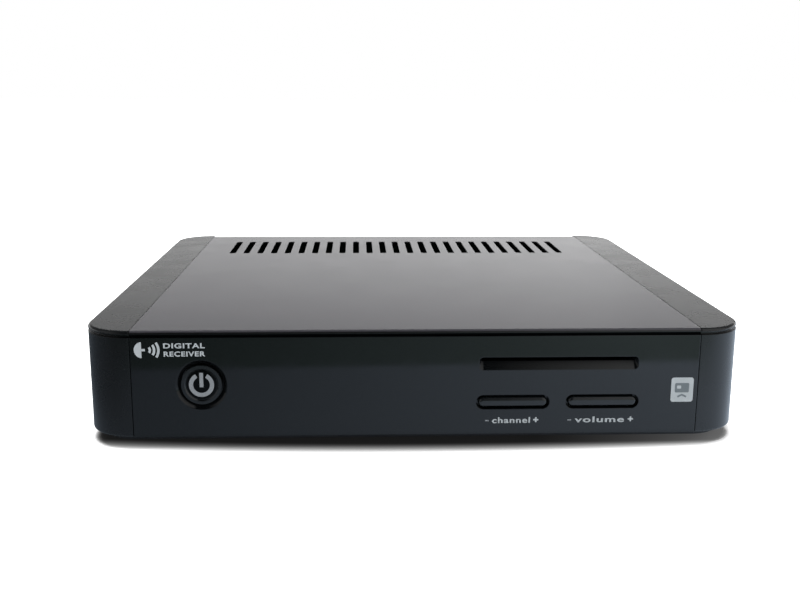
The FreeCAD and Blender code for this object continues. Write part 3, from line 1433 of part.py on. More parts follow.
def write():
    """Writes each sub-part to a file that has its name."""
    os.makedirs("parts", exist_ok=True)
    for thing in sub_parts:
        thing.Shape.exportStep(f"parts/{thing.Label}.step")


build()
check()
write()
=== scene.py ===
"""The looks of a low satellite television receiver, built round its packed construction.

Metres, in the frame of the construction: X along the front, Y from front to back, Z up.
"""

import json
import logging
import math
from dataclasses import dataclass, replace
from enum import Enum
from typing import Optional, Sequence, Union

import bmesh
import bpy
import numpy as np
from mathutils import Matrix, Vector

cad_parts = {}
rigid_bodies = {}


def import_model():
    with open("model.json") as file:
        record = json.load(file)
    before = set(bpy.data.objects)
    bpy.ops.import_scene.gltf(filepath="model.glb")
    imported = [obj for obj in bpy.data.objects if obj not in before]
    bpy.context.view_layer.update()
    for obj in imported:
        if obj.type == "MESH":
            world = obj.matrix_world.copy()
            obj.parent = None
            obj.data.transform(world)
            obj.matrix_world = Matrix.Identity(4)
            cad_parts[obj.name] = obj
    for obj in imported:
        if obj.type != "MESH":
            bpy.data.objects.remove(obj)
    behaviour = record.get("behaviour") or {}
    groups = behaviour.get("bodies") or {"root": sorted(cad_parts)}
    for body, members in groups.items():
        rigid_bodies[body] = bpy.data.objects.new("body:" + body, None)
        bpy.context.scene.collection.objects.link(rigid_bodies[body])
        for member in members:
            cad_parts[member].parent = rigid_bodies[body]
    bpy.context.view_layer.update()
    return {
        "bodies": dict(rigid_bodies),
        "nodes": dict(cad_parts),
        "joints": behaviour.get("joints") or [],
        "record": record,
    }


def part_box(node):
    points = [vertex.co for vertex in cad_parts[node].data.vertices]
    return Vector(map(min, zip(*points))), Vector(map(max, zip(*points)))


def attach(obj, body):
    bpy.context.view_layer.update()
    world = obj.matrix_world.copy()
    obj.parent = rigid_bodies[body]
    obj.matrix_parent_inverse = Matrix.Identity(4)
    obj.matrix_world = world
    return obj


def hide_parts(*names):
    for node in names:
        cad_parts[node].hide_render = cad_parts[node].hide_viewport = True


LOG = logging.getLogger("receiver")
MM = 0.001
MERGE = 0.0005 * MM
CREASE = 35.0

Piece = bpy.types.Object
Socket = bpy.types.NodeSocket
Feed = Union[Socket, float]
Span = Sequence[float]
Colour = tuple[float, float, float, float]


# Small tools for colours, shader nodes and meshes

def linear(code: str) -> Colour:
    """Turns an sRGB hex colour into linear light.

    Args:
        code: The colour, such as "#202428".

    Returns:
        Red, green, blue and a full alpha.
    """
    parts = [int(code[place:place + 2], 16) / 255 for place in (1, 3, 5)]
    light = [part / 12.92 if part <= 0.04045 else ((part + 0.055) / 1.055) ** 2.4 for part in parts]
    return (*light, 1.0)


@dataclass(frozen=True)
class Ramp:
    """A steady change between two places, which keeps its value past either."""

    start: float  # where it starts
    end: float  # where it ends; it may lie below the start
    low: float = 0.0  # its value at the start
    high: float = 1.0  # its value at the end


class Wiring:
    """A shader's nodes, with short ways to add those that the finishes and the stage share."""

    def __init__(self, tree: bpy.types.NodeTree, place: str = "Object") -> None:
        """Starts on a node tree, with the node that gives places in some coordinates."""
        self.tree = tree
        self.place = self.add("TexCoord").outputs[place]

    def fill(self, node: bpy.types.Node, settings: dict) -> bpy.types.Node:
        """Gives a node what it works with.

        Args:
            node: The node.
            settings: Attributes by name, and inputs by name or number: a socket is linked to the input, and
                any other value is set on it.

        Returns:
            The same node.
        """
        for name, value in settings.items():
            if isinstance(value, Socket):
                self.tree.links.new(value, node.inputs[name])
            elif isinstance(name, str) and hasattr(node, name):
                setattr(node, name, value)
            else:
                node.inputs[name].default_value = value
        return node

    def add(self, kind: str, settings: Optional[dict] = None) -> bpy.types.Node:
        """Adds a node of a kind, such as "Mix", and fills it."""
        return self.fill(self.tree.nodes.new(f"ShaderNode{kind}"), settings or {})

    def first(self, kind: str, settings: dict) -> Socket:
        """Adds a node and returns its first output."""
        return self.add(kind, settings).outputs[0]

    def axis(self, name: str) -> Socket:
        """Returns the place along X, Y or Z."""
        return self.add("SeparateXYZ", {0: self.place}).outputs[name]

    def math(self, operation: str, *feeds: Feed) -> Socket:
        """Reckons with sockets and numbers."""
        return self.first("Math", {"operation": operation, **dict(enumerate(feeds))})

    def ramp(self, feed: Feed, ramp: Ramp) -> Socket:
        """Brings a value through a ramp."""
        ends = {"From Min": ramp.start, "From Max": ramp.end, "To Min": ramp.low, "To Max": ramp.high}
        return self.first("MapRange", {**ends, "Value": feed})

    def noise(self, place: Socket, scale: float, detail: float, roughness: float = 0.5) -> Socket:
        """Returns a soft noise from 0 to 1."""
        settings = {"Scale": scale, "Detail": detail, "Roughness": roughness, "Vector": place}
        return self.add("TexNoise", settings).outputs["Fac"]

    def mix(self, share: Feed, low: Feed, high: Feed) -> Socket:
        """Mixes two numbers."""
        return self.first("Mix", {"data_type": "FLOAT", 0: share, 2: low, 3: high})

    def blend(self, share: Feed, low: Union[Socket, Colour], high: Union[Socket, Colour]) -> Socket:
        """Mixes two colours."""
        return self.add("Mix", {"data_type": "RGBA", 0: share, 6: low, 7: high}).outputs[2]

    def choose(self, share: Feed, low: Socket, high: Socket) -> Socket:
        """Mixes two shaders."""
        return self.first("MixShader", {0: share, 1: low, 2: high})


def link(name: str, data: bpy.types.ID) -> Piece:
    """Makes an object of a mesh, a font, a lamp or a camera, and links it into the scene.

    Args:
        name: The object's name.
        data: What it shows.

    Returns:
        The linked object.
    """
    piece = bpy.data.objects.new(name, data)
    bpy.context.scene.collection.objects.link(piece)
    return piece


def settle(name: str, mesh: bpy.types.Mesh, crease: float = CREASE) -> Piece:
    """Merges a mesh's doubles, turns its faces outwards, shades it and links it as an object.

    Args:
        name: The piece's name.
        mesh: The mesh, in metres.
        crease: The angle in degrees past which an edge is sharp.

    Returns:
        The linked object.
    """
    work = bmesh.new()
    work.from_mesh(mesh)
    bmesh.ops.remove_doubles(work, verts=work.verts, dist=MERGE)
    bmesh.ops.recalc_face_normals(work, faces=work.faces)
    work.to_mesh(mesh)
    work.free()
    mesh.shade_smooth()
    mesh.set_sharp_from_angle(angle=math.radians(crease))
    return link(name, mesh)


def mesh_of(name: str, points: np.ndarray, faces: Sequence) -> bpy.types.Mesh:
    """Makes a mesh of points and of the vertex numbers of each face."""
    mesh = bpy.data.meshes.new(name)
    mesh.from_pydata(points.tolist(), [], faces)
    return mesh


def grid_faces(rows: int, columns: int) -> np.ndarray:
    """Numbers the four-sided faces between closed rows of vertices.

    Args:
        rows: How many rows of vertices there are.
        columns: How many vertices each row has; the last meets the first.

    Returns:
        One row of four vertex numbers for each face.
    """
    row, column = np.meshgrid(np.arange(rows - 1), np.arange(columns), indexing="ij")
    following = (column + 1) % columns
    corners = [row * columns + column, row * columns + following]
    corners += [(row + 1) * columns + following, (row + 1) * columns + column]
    return np.stack([corner.ravel() for corner in corners], axis=1)


def full_turn(count: int) -> np.ndarray:
    """Returns equal steps round a full turn, in radians."""
    return np.arange(count) * 2 * math.pi / count


def turned(
    name: str, radii: np.ndarray, heights: np.ndarray, centre: Span, axis: Span, crease: float = CREASE
) -> Piece:
    """Turns a profile about an axis; the radius may change round the turn, as on a thread or a nut.

    The point at row i and angle a lies at
    centre + height[i] * axis + radius[i, a] * (cos a, sin a) across it.

    Args:
        name: The piece's name.
        radii: Radius in millimetres for each row of the profile and each angle.
        heights: Height along the axis in millimetres, one for each row or for each row and angle.
        centre: Where height nought lies, in millimetres.
        axis: The direction of the axis.
        crease: The angle in degrees past which an edge is sharp.

    Returns:
        The linked object.
    """
    rows, columns = radii.shape
    angles = full_turn(columns)
    heights = np.broadcast_to(heights.reshape(rows, -1), radii.shape)
    along = Vector(axis).normalized()
    side = along.orthogonal().normalized()
    other = along.cross(side)
    points = np.array(centre, float) + heights[..., None] * np.array(along)
    points = points + (radii * np.cos(angles))[..., None] * np.array(side)
    points = points + (radii * np.sin(angles))[..., None] * np.array(other)
    mesh = mesh_of(name, points.reshape(-1, 3) * MM, grid_faces(rows, columns).tolist())
    return settle(name, mesh, crease)


def arc(radius: float, start: float, end: float, middle: Span = (0, 0), steps: int = 48) -> np.ndarray:
    """Returns points of an arc: middle + radius * (cos a, sin a) from start to end, in degrees."""
    angles = np.radians(np.linspace(start, end, steps))
    return np.stack([middle[0] + radius * np.cos(angles), middle[1] + radius * np.sin(angles)], axis=1)


def line(*ends: Span) -> np.ndarray:
    """Returns the points of a straight line or a line with corners."""
    return np.array(ends, float)


def rounded_box(half_x: float, half_y: float, radius: float, middle: Span = (0, 0)) -> np.ndarray:
    """Draws a rounded rectangle.

    Args:
        half_x: Half its width.
        half_y: Half its height.
        radius: The radius of its corners.
        middle: Its middle.

    Returns:
        Its points, which start and end in the middle of its lower side.
    """
    turns = []
    for sign_x, sign_y, start in ((1, -1, -90), (1, 1, 0), (-1, 1, 90), (-1, -1, 180)):
        corner = (middle[0] + sign_x * (half_x - radius), middle[1] + sign_y * (half_y - radius))
        turns.append(arc(radius, start, start + 90, corner, 8))
    foot = np.array([[middle[0], middle[1] - half_y]])
    return np.concatenate([foot, *turns, foot])


# Finishes

class Grain(Enum):
    """How the fine relief of a surface is laid out."""

    MOULDED = "a shallow texture etched into the mould"
    PEEL = "the soft waves of baked paint"
    CAST = "round grains side by side"
    DRAWN = "fine lines along X from rolling or drawing"
    TURNED = "fine rings from a lathe"


@dataclass(frozen=True)
class Finish:
    """A real surface: its colours, its gloss and the relief that its making left."""

    title: str  # the material's common name and how it was made
    colour: str  # its colour, sRGB
    shade: str  # the colour that slow changes lean towards, sRGB
    roughness: float  # its mean roughness
    metallic: float = 0.0  # 1 for bare metal
    ior: float = 1.5  # its index of refraction, where it isn't metal
    grain: Grain = Grain.MOULDED  # how the fine relief is laid out
    grain_mm: float = 0.5  # the size of one grain
    relief_mm: float = 0.01  # the height of the relief
    mottle_mm: float = 25.0  # the size of the slow changes of colour
    spread: float = 0.05  # how far the roughness changes either way
    edge_mm: float = 0.15  # the radius that catches the light on its edges
    coat: float = 0.0  # the share of clear lacquer over it
    hollow_mm: float = 0.0  # painted shade: how near other surfaces dim its gloss, where it has hollows

    def relief(self, nodes: Wiring) -> Socket:
        """Lays out the fine relief.

        Args:
            nodes: The material's nodes.

        Returns:
            A socket with the relief's height, from 0 to 1.
        """
        fine = 1 / (self.grain_mm * MM)
        drawn_out = 0.04 if self.grain is Grain.DRAWN else 1.0
        place = nodes.first("Mapping", {"Scale": (fine * drawn_out, fine, fine), "Vector": nodes.place})
        if self.grain is Grain.CAST:
            cells = {"feature": "SMOOTH_F1", "Scale": 1.0, "Smoothness": 0.6, "Vector": place}
            return nodes.add("TexVoronoi", cells).outputs["Distance"]
        if self.grain is Grain.TURNED:
            rings = {"wave_type": "RINGS", "rings_direction": "SPHERICAL", "Scale": 0.3, "Distortion": 1.5}
            return nodes.add("TexWave", {**rings, "Vector": place}).outputs["Fac"]
        return nodes.noise(place, 1.0, 1.0 if self.grain is Grain.PEEL else 4.0, 0.6)

    def pattern(self, nodes: Wiring, fine: Socket) -> Socket:
        """Shares out the two colours by slow changes with a little of the grain in them."""
        slow = nodes.noise(nodes.place, 1 / (self.mottle_mm * MM), 3.0)
        return nodes.ramp(nodes.mix(0.35, slow, fine), Ramp(0.15, 0.85))

    def tint(self, nodes: Wiring, fine: Socket) -> Socket:
        """Mixes the two colours as the pattern shares them out."""
        return nodes.blend(self.pattern(nodes, fine), linear(self.colour), linear(self.shade))

    def build(self) -> bpy.types.Material:
        """Makes the material: colour, roughness, relief and soft edges.

        Returns:
            The material, named for what it is.
        """
        made = bpy.data.materials.new(self.title)
        made.use_nodes = True
        nodes = Wiring(made.node_tree)
        fine = self.relief(nodes)
        worn = nodes.noise(nodes.place, 3 / (self.mottle_mm * MM), 5.0)
        least, most = max(self.roughness - self.spread, 0.02), self.roughness + self.spread
        soft = nodes.first("Bevel", {"samples": 4, "Radius": self.edge_mm * MM})
        look = {
            "Base Color": self.tint(nodes, fine),
            "Roughness": nodes.ramp(worn, Ramp(0.3, 0.7, least, most)),
            "Normal": nodes.first("Bump", {"Distance": self.relief_mm * MM, "Height": fine, "Normal": soft}),
            "Metallic": self.metallic,
            "Coat Weight": self.coat,
            "Coat Roughness": 0.08,
        }
        if not self.metallic:
            look["IOR"] = self.ior
        # painted shade: near other surfaces the gloss is dimmed, so hollows come out darker
        if self.hollow_mm:
            around = nodes.add("AmbientOcclusion", {"samples": 8, "Distance": self.hollow_mm * MM})
            look["Specular IOR Level"] = nodes.ramp(around.outputs["AO"], Ramp(0.55, 0.97, 0.02, 0.5))
        nodes.fill(made.node_tree.nodes["Principled BSDF"], look)
        return made


@dataclass(frozen=True)
class CircuitBoard(Finish):
    """Glass-fibre board under solder resist, whose copper tracks show through as a lighter green."""

    track_mm: float = 1.3

    def pattern(self, nodes: Wiring, fine: Socket) -> Socket:
        """Draws square-cornered tracks as the edges of stretched cells."""
        cells = nodes.add("TexVoronoi", {
            "distance": "MANHATTAN", "feature": "F2", "Scale": 1 / (self.track_mm * 4 * MM),
            "Randomness": 0.8, "Vector": nodes.place,
        })
        return nodes.ramp(nodes.math("PINGPONG", cells.outputs["Distance"], 0.09), Ramp(0.04, 0.055))


@dataclass(frozen=True)
class ShadedLip(Finish):
    """A finish whose front edge is darkened with painted shade, so that the seam below it reads as one dark
    line.
    """

    lip_shade: str = "#08090A"  # painted shade: the colour that the front edge fades to, sRGB
    fades: Sequence = (("Z", 43.2, 42.7), ("Y", -113.0, -114.0))  # where it starts and where it is full

    def tint(self, nodes: Wiring, fine: Socket) -> Socket:
        """Fades the plain colour to the painted shade, downwards and forwards."""
        low, near = (nodes.ramp(nodes.axis(way), Ramp(*np.array(ends) * MM)) for way, *ends in self.fades)
        return nodes.blend(nodes.math("MULTIPLY", low, near), super().tint(nodes, fine), linear(self.lip_shade))


@dataclass(frozen=True)
class Striped(Finish):
    """A finish with stripes of its second colour, such as the cores of a ribbon or the mark on a sleeve."""

    stripe_mm: float = 1.0  # the step from stripe to stripe along X
    share: float = 0.2  # how much of the step a stripe takes

    def pattern(self, nodes: Wiring, fine: Socket) -> Socket:
        """Draws the stripes at equal steps along X."""
        half = self.stripe_mm * MM / 2
        edge = Ramp(half * self.share, half * (self.share + 0.15), 1.0, 0.0)
        return nodes.ramp(nodes.math("PINGPONG", nodes.axis("X"), half), edge)


FINISHES: dict[str, Finish] = {
    # Stove enamel on folded steel: a satin sheen over a faint orange peel, drawn coarser so that it shows,
    # and painted shade along the front edge
    "cover_paint": ShadedLip(
        "satin enamelled steel", "#3B3A3F", "#38373C", 0.25, grain=Grain.PEEL, grain_mm=0.9, relief_mm=0.001,
        mottle_mm=60.0, spread=0.01, edge_mm=0.25,
    ),
    # ABS from an etched mould: satin, so that light slides over it and mirrors nothing clearly
    "cheek_plastic": Finish(
        "moulded grey ABS", "#0C0E10", "#0F1113", 0.27, grain_mm=0.6, relief_mm=0.003, mottle_mm=40.0,
        spread=0.02, edge_mm=0.3,
    ),
    # Polished moulding: nearly black in itself, it shows the pale paper and the dim room before it
    "fascia_gloss": Finish(
        "polished black acrylic", "#0A0C0D", "#0C0E10", 0.07, ior=1.49, grain=Grain.PEEL, grain_mm=6.0,
        relief_mm=0.002, spread=0.03, edge_mm=0.4, hollow_mm=6.0,
    ),
    # Baked powder on sheet steel: a dull black with a pebbled skin that breaks up its light
    "base_steel": Finish(
        "black powder-coated steel", "#15171A", "#1A1C1F", 0.5, grain=Grain.PEEL, relief_mm=0.02, spread=0.08
    ),
    # Soft rubber: no gloss at all, a shade paler where dust clings to it
    "foot_rubber": Finish(
        "moulded rubber", "#17181A", "#1C1D1E", 0.75, grain=Grain.CAST, grain_mm=0.4, relief_mm=0.02,
        mottle_mm=6.0,
    ),
    # Oiled black oxide on turned steel: dark metal with rings of light from the lathe
    "screw_steel": Finish(
        "blackened steel", "#45464A", "#55565A", 0.36, metallic=1.0, grain=Grain.TURNED, grain_mm=0.25,
        relief_mm=0.006, mottle_mm=3.0, spread=0.1,
    ),
    # The fascia's plastic with more wear from fingers: its highlight is a little wider
    "button_gloss": Finish(
        "polished black ABS", "#121517", "#16191B", 0.14, grain=Grain.PEEL, grain_mm=3.0, relief_mm=0.003,
        spread=0.04, edge_mm=0.25,
    ),
    # Nylon straight from the mould: flat black, with a speck of grey
    "switch_case": Finish("black nylon", "#1A1B1C", "#212223", 0.5, grain_mm=0.3),
    # Uncoloured acetal: a warm cream with a waxy gloss, bright against the switch
    "plunger_plastic": Finish("cream acetal", "#D9D2C0", "#CFC6B2", 0.4, grain_mm=0.3, relief_mm=0.004),
    # Lacquer over copper tracks: deep green, glossy, with paler lines where copper lies below
    "circuit_board": CircuitBoard(
        "solder resist on glass fibre", "#12492E", "#1D6B43", 0.35, grain=Grain.PEEL, grain_mm=0.8, coat=0.3
    ),
    # Filled epoxy: charcoal and dead matt, with the grain of its glass filler
    "chip_epoxy": Finish(
        "moulded epoxy", "#1B1C1D", "#26272A", 0.6, grain=Grain.CAST, grain_mm=0.15, mottle_mm=8.0
    ),
    # Raw extrusion: silver, drawn into fine lines along its fins, so that its light streaks
    "sink_aluminium": Finish(
        "extruded aluminium", "#C6C8CC", "#B5B7BC", 0.34, metallic=1.0, grain=Grain.DRAWN, grain_mm=0.25,
        mottle_mm=10.0,
    ),
    # Shrunk vinyl: a glossy navy with a pale stripe that marks one lead
    "capacitor_sleeve": Striped(
        "printed shrink sleeve", "#1B2740", "#AEB7C4", 0.3, grain_mm=0.8, stripe_mm=11.0, share=0.12
    ),
    # Hot-dipped tin: bright, but cloudy where the coat set in patches
    "tuner_tin": Finish(
        "tinned steel", "#BEBFBE", "#A9AAA8", 0.3, metallic=1.0, grain=Grain.CAST, grain_mm=3.0,
        mottle_mm=9.0, spread=0.08,
    ),
    # Plated turned brass: a warm silver, the sharpest glint on the back
    "nickel": Finish(
        "nickel plate", "#CBC7BD", "#BBB6AB", 0.22, metallic=1.0, grain=Grain.TURNED, grain_mm=0.2,
        relief_mm=0.002, mottle_mm=4.0, spread=0.08,
    ),
    # Insulator deep in the aerial sockets: cream, a shade duller than the plungers
    "insert_cream": Finish(
        "cream acetal insert", "#D8D0B8", "#CCC3A9", 0.45, grain_mm=0.3, mottle_mm=4.0
    ),
    # Black housing behind the phono sockets: matt, it lets their coloured rings stand out
    "phono_black": Finish("black polyester", "#191A1B", "#202122", 0.5, grain_mm=0.4, relief_mm=0.012),
    # Dyed through, with a soft sheen: a warm yellow that marks the picture socket, an off-white, a signal red
    **{
        f"phono_{name}": Finish(f"{name} polyester", colour, shade, 0.35, grain_mm=0.4, mottle_mm=4.0)
        for name, colour, shade in (
            ("yellow", "#E3B21C", "#D5A315"), ("white", "#E4E3DF", "#D8D7D1"), ("red", "#B01C1C", "#A01616")
        )
    },
    # Bright-plated strip: cool silver with lines along the way it was rolled
    "socket_steel": Finish(
        "plated spring steel", "#B4B5B8", "#A2A3A6", 0.28, metallic=1.0, grain=Grain.DRAWN, grain_mm=0.2,
        relief_mm=0.003, mottle_mm=5.0, spread=0.08,
    ),
    # Glass in the nylon frosts its skin: flat black with almost no highlight
    "socket_black": Finish("glass-filled nylon", "#17181A", "#1F2022", 0.52, grain_mm=0.3, relief_mm=0.012),
    # A slate grey, so that the small shutter can be told from the socket round it
    "flap_grey": Finish("grey acetal", "#33363A", "#3B3E42", 0.45, grain_mm=0.3, mottle_mm=4.0),
    # A thin wash of gold over nickel: a yellow glint deep in the sockets
    "contact_gold": Finish(
        "gold flash", "#D9AE55", "#C99C45", 0.25, metallic=1.0, grain=Grain.DRAWN, grain_mm=0.1,
        relief_mm=0.002, mottle_mm=2.0,
    ),
    # Bare brass: yellower and duller than the gold, with rings from the lathe
    "standoff_brass": Finish(
        "turned brass", "#C9A25A", "#B58F4C", 0.3, metallic=1.0, grain=Grain.TURNED, grain_mm=0.3,
        relief_mm=0.004, mottle_mm=4.0,
    ),
    # Tinned cores under clear film: fine grey lines side by side on white
    "ribbon_white": Striped(
        "flat ribbon of tinned cores", "#D7D7D2", "#9EA0A2", 0.45, grain_mm=0.4, stripe_mm=1.0, share=0.35
    ),
    # Uncoloured nylon: the matt cream of a board connector
    "ribbon_cream": Finish("cream nylon", "#D3CBB5", "#C8BFA7", 0.5, grain_mm=0.4, mottle_mm=5.0),
    # Dyed to pass only infrared: a very dark plum with a wet gloss
    "eye_epoxy": Finish(
        "infrared filter epoxy", "#1A0F16", "#22141D", 0.12, ior=1.55, grain_mm=2.0, relief_mm=0.002
    ),
    # Cloudy red epoxy: the standby lamp unlit, dull in its depth and glossy on top
    "lamp_epoxy": Finish("red diffusing epoxy", "#A3201B", "#8E1814", 0.25, ior=1.55, grain_mm=0.6),
}

# Silk-screen ink: matt and chalky, thin at its edges
INK = Finish(
    "white silk-screen ink", "#C9D1D6", "#B7C0C5", 0.55, grain=Grain.CAST, grain_mm=0.25, mottle_mm=3.0,
    edge_mm=0.02,
)
# The same ink with black in it: a step quieter than the white
GREY_INK = replace(INK, title="grey silk-screen ink", colour="#9AA0A6", shade="#8A9096")
# Dark ink over white, in a thinner film: the drawing on the card mark
SLATE_INK = replace(INK, title="slate silk-screen ink", colour="#707A80", shade="#7B858B", relief_mm=0.005)
# Solvent ink on foil: dull, with no body of its own
INK_DARK = replace(
    SLATE_INK, title="black printing ink", colour="#202224", shade="#2A2C2E", roughness=0.5
)
# Aluminised film with a matt varnish: a soft silver sheen
FOIL = Finish(
    "matt silver polyester foil", "#B9BBBD", "#ADAFB1", 0.45, metallic=0.4, grain=Grain.PEEL,
    grain_mm=0.8, relief_mm=0.004, mottle_mm=12.0, edge_mm=0.03,
)
# Cast lens with a bloomed face: nearly black, it gives back far less light than the moulding round it
LENS = Finish(
    "bloomed smoked acrylic", "#030405", "#040506", 0.08, ior=1.22, grain=Grain.PEEL, grain_mm=4.0,
    relief_mm=0.001, spread=0.02, edge_mm=0.1,
)


# Sub-assemblies

def corners(node: str) -> tuple[np.ndarray, np.ndarray]:
    """Returns the lowest and the highest corner of a node of the construction, in millimetres."""
    low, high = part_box(node)
    return np.array(low) / MM, np.array(high) / MM


def middle(node: str) -> np.ndarray:
    """Returns the middle of a node of the construction, in millimetres."""
    low, high = corners(node)
    return (low + high) / 2


def dress(piece: Piece, finish: Finish) -> None:
    """Gives a piece one finish all over; the finish is built once."""
    piece.data.materials.clear()
    piece.data.materials.append(bpy.data.materials.get(finish.title) or finish.build())


def place(piece: Piece, finish: Finish, body: str = "case") -> None:
    """Dresses a piece, lets it ride on a body and reports it.

    Args:
        piece: The object.
        finish: What it is made of.
        body: The body of the construction that carries it.
    """
    dress(piece, finish)
    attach(piece, body)
    LOG.info("%s: %d faces on %s", piece.name, len(piece.data.polygons), body)


def stand_in(piece: Piece, node: str, slot: str) -> None:
    """Puts a piece in the place of a node of the construction.

    Args:
        piece: The object.
        node: The node that it replaces.
        slot: The record's material slot that it takes its finish from.
    """
    place(piece, FINISHES[slot])
    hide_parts(node)


@dataclass(frozen=True)
class Press:
    """Prints films on a flat face; all its lengths are millimetres, from the face's origin."""

    origin: Span  # a point of the face
    right: Span = (1, 0, 0)  # the direction that reads from left to right
    up: Span = (0, 0, 1)  # the direction that reads upwards
    height: float = 0.04  # how far a film stands over the face
    root: float = 0.03  # how far it reaches into it, so that no gap shows
    weight: float = 0.03  # how much fatter its letters are than the font's
    body: str = "case"  # the body that carries the face

    def put(self, name: str, mesh: bpy.types.Mesh, finish: Finish, shift: Matrix = Matrix()) -> None:
        """Brings a film onto the face and dresses it.

        Args:
            name: The piece's name.
            mesh: The film, flat and in millimetres.
            finish: What it is made of.
            shift: What is done to it before.
        """
        right, up = Vector(self.right), Vector(self.up)
        turn = Matrix((right, up, right.cross(up))).transposed().to_4x4()
        mesh.transform(Matrix.Translation(Vector(self.origin) * MM) @ turn @ Matrix.Scale(MM, 4) @ shift)
        place(settle(name, mesh), finish, self.body)

    def strokes(self, name: str, paths: Sequence[np.ndarray], width: float, finish: Finish) -> None:
        """Prints lines of one width: a flat rectangle is carried along each path, square to it.

        Args:
            name: The piece's name; it is one mesh for all lines.
            paths: The points of each line.
            width: The lines' width.
            finish: What they are made of.
        """
        points, faces = [], []
        for path in paths:
            first = sum(len(block) for block in points)
            heading = np.gradient(path, axis=0)
            heading /= np.linalg.norm(heading, axis=1, keepdims=True)
            across = np.stack([-heading[:, 1], heading[:, 0]], axis=1) * width / 2
            flat = np.stack([path + across, path - across, path - across, path + across], axis=1)
            film = np.array([self.height, self.height, -self.root, -self.root])
            film = np.broadcast_to(film, (len(path), 4))
            points.append(np.concatenate([flat, film[..., None]], axis=2).reshape(-1, 3))
            faces += (grid_faces(len(path), 4) + first).tolist()
            last = first + 4 * (len(path) - 1)
            faces += [[first + 3, first + 2, first + 1, first], [last, last + 1, last + 2, last + 3]]
        self.put(name, mesh_of(name, np.concatenate(points), faces), finish)

    def area(self, name: str, outline: np.ndarray, finish: Finish) -> None:
        """Prints a filled area: its outline is drawn at the film's root and at its top, and both are closed.

        Args:
            name: The piece's name.
            outline: The corners in turn, none twice.
            finish: What it is made of.
        """
        count = len(outline)
        levels = [np.column_stack([outline, np.full(count, z)]) for z in (-self.root, self.height)]
        faces = grid_faces(2, count).tolist()
        faces += [list(range(count)), list(range(2 * count - 1, count - 1, -1))]
        self.put(name, mesh_of(name, np.concatenate(levels), faces), finish)

    def word(self, name: str, text: str, height: float, spot: Span, width: Optional[float] = None) -> None:
        """Prints a word in white, as a thin solid of its letters.

        Args:
            name: The piece's name.
            text: What it says.
            height: The height of its capitals.
            spot: The word's middle.
            width: The width that the word is stretched to, or None for the letters' own.
        """
        capital_share, letter_step = 0.7, 1.12
        font = bpy.data.curves.new(name, "FONT")
        font.body = text
        font.align_x, font.align_y = "CENTER", "CENTER"
        font.size = height / capital_share
        font.space_character = letter_step
        font.extrude = (self.height + self.root) / 2
        font.offset = self.weight
        holder = link(name, font)
        mesh = bpy.data.meshes.new_from_object(holder.evaluated_get(bpy.context.evaluated_depsgraph_get()))
        bpy.data.objects.remove(holder)
        along = np.array([vertex.co.x for vertex in mesh.vertices])
        stretch = width / (along.max() - along.min()) if width else 1.0
        shift = Matrix.Translation((spot[0], spot[1], (self.height - self.root) / 2))
        self.put(name, mesh, INK, shift @ Matrix.Diagonal((stretch, 1.0, 1.0, 1.0)))


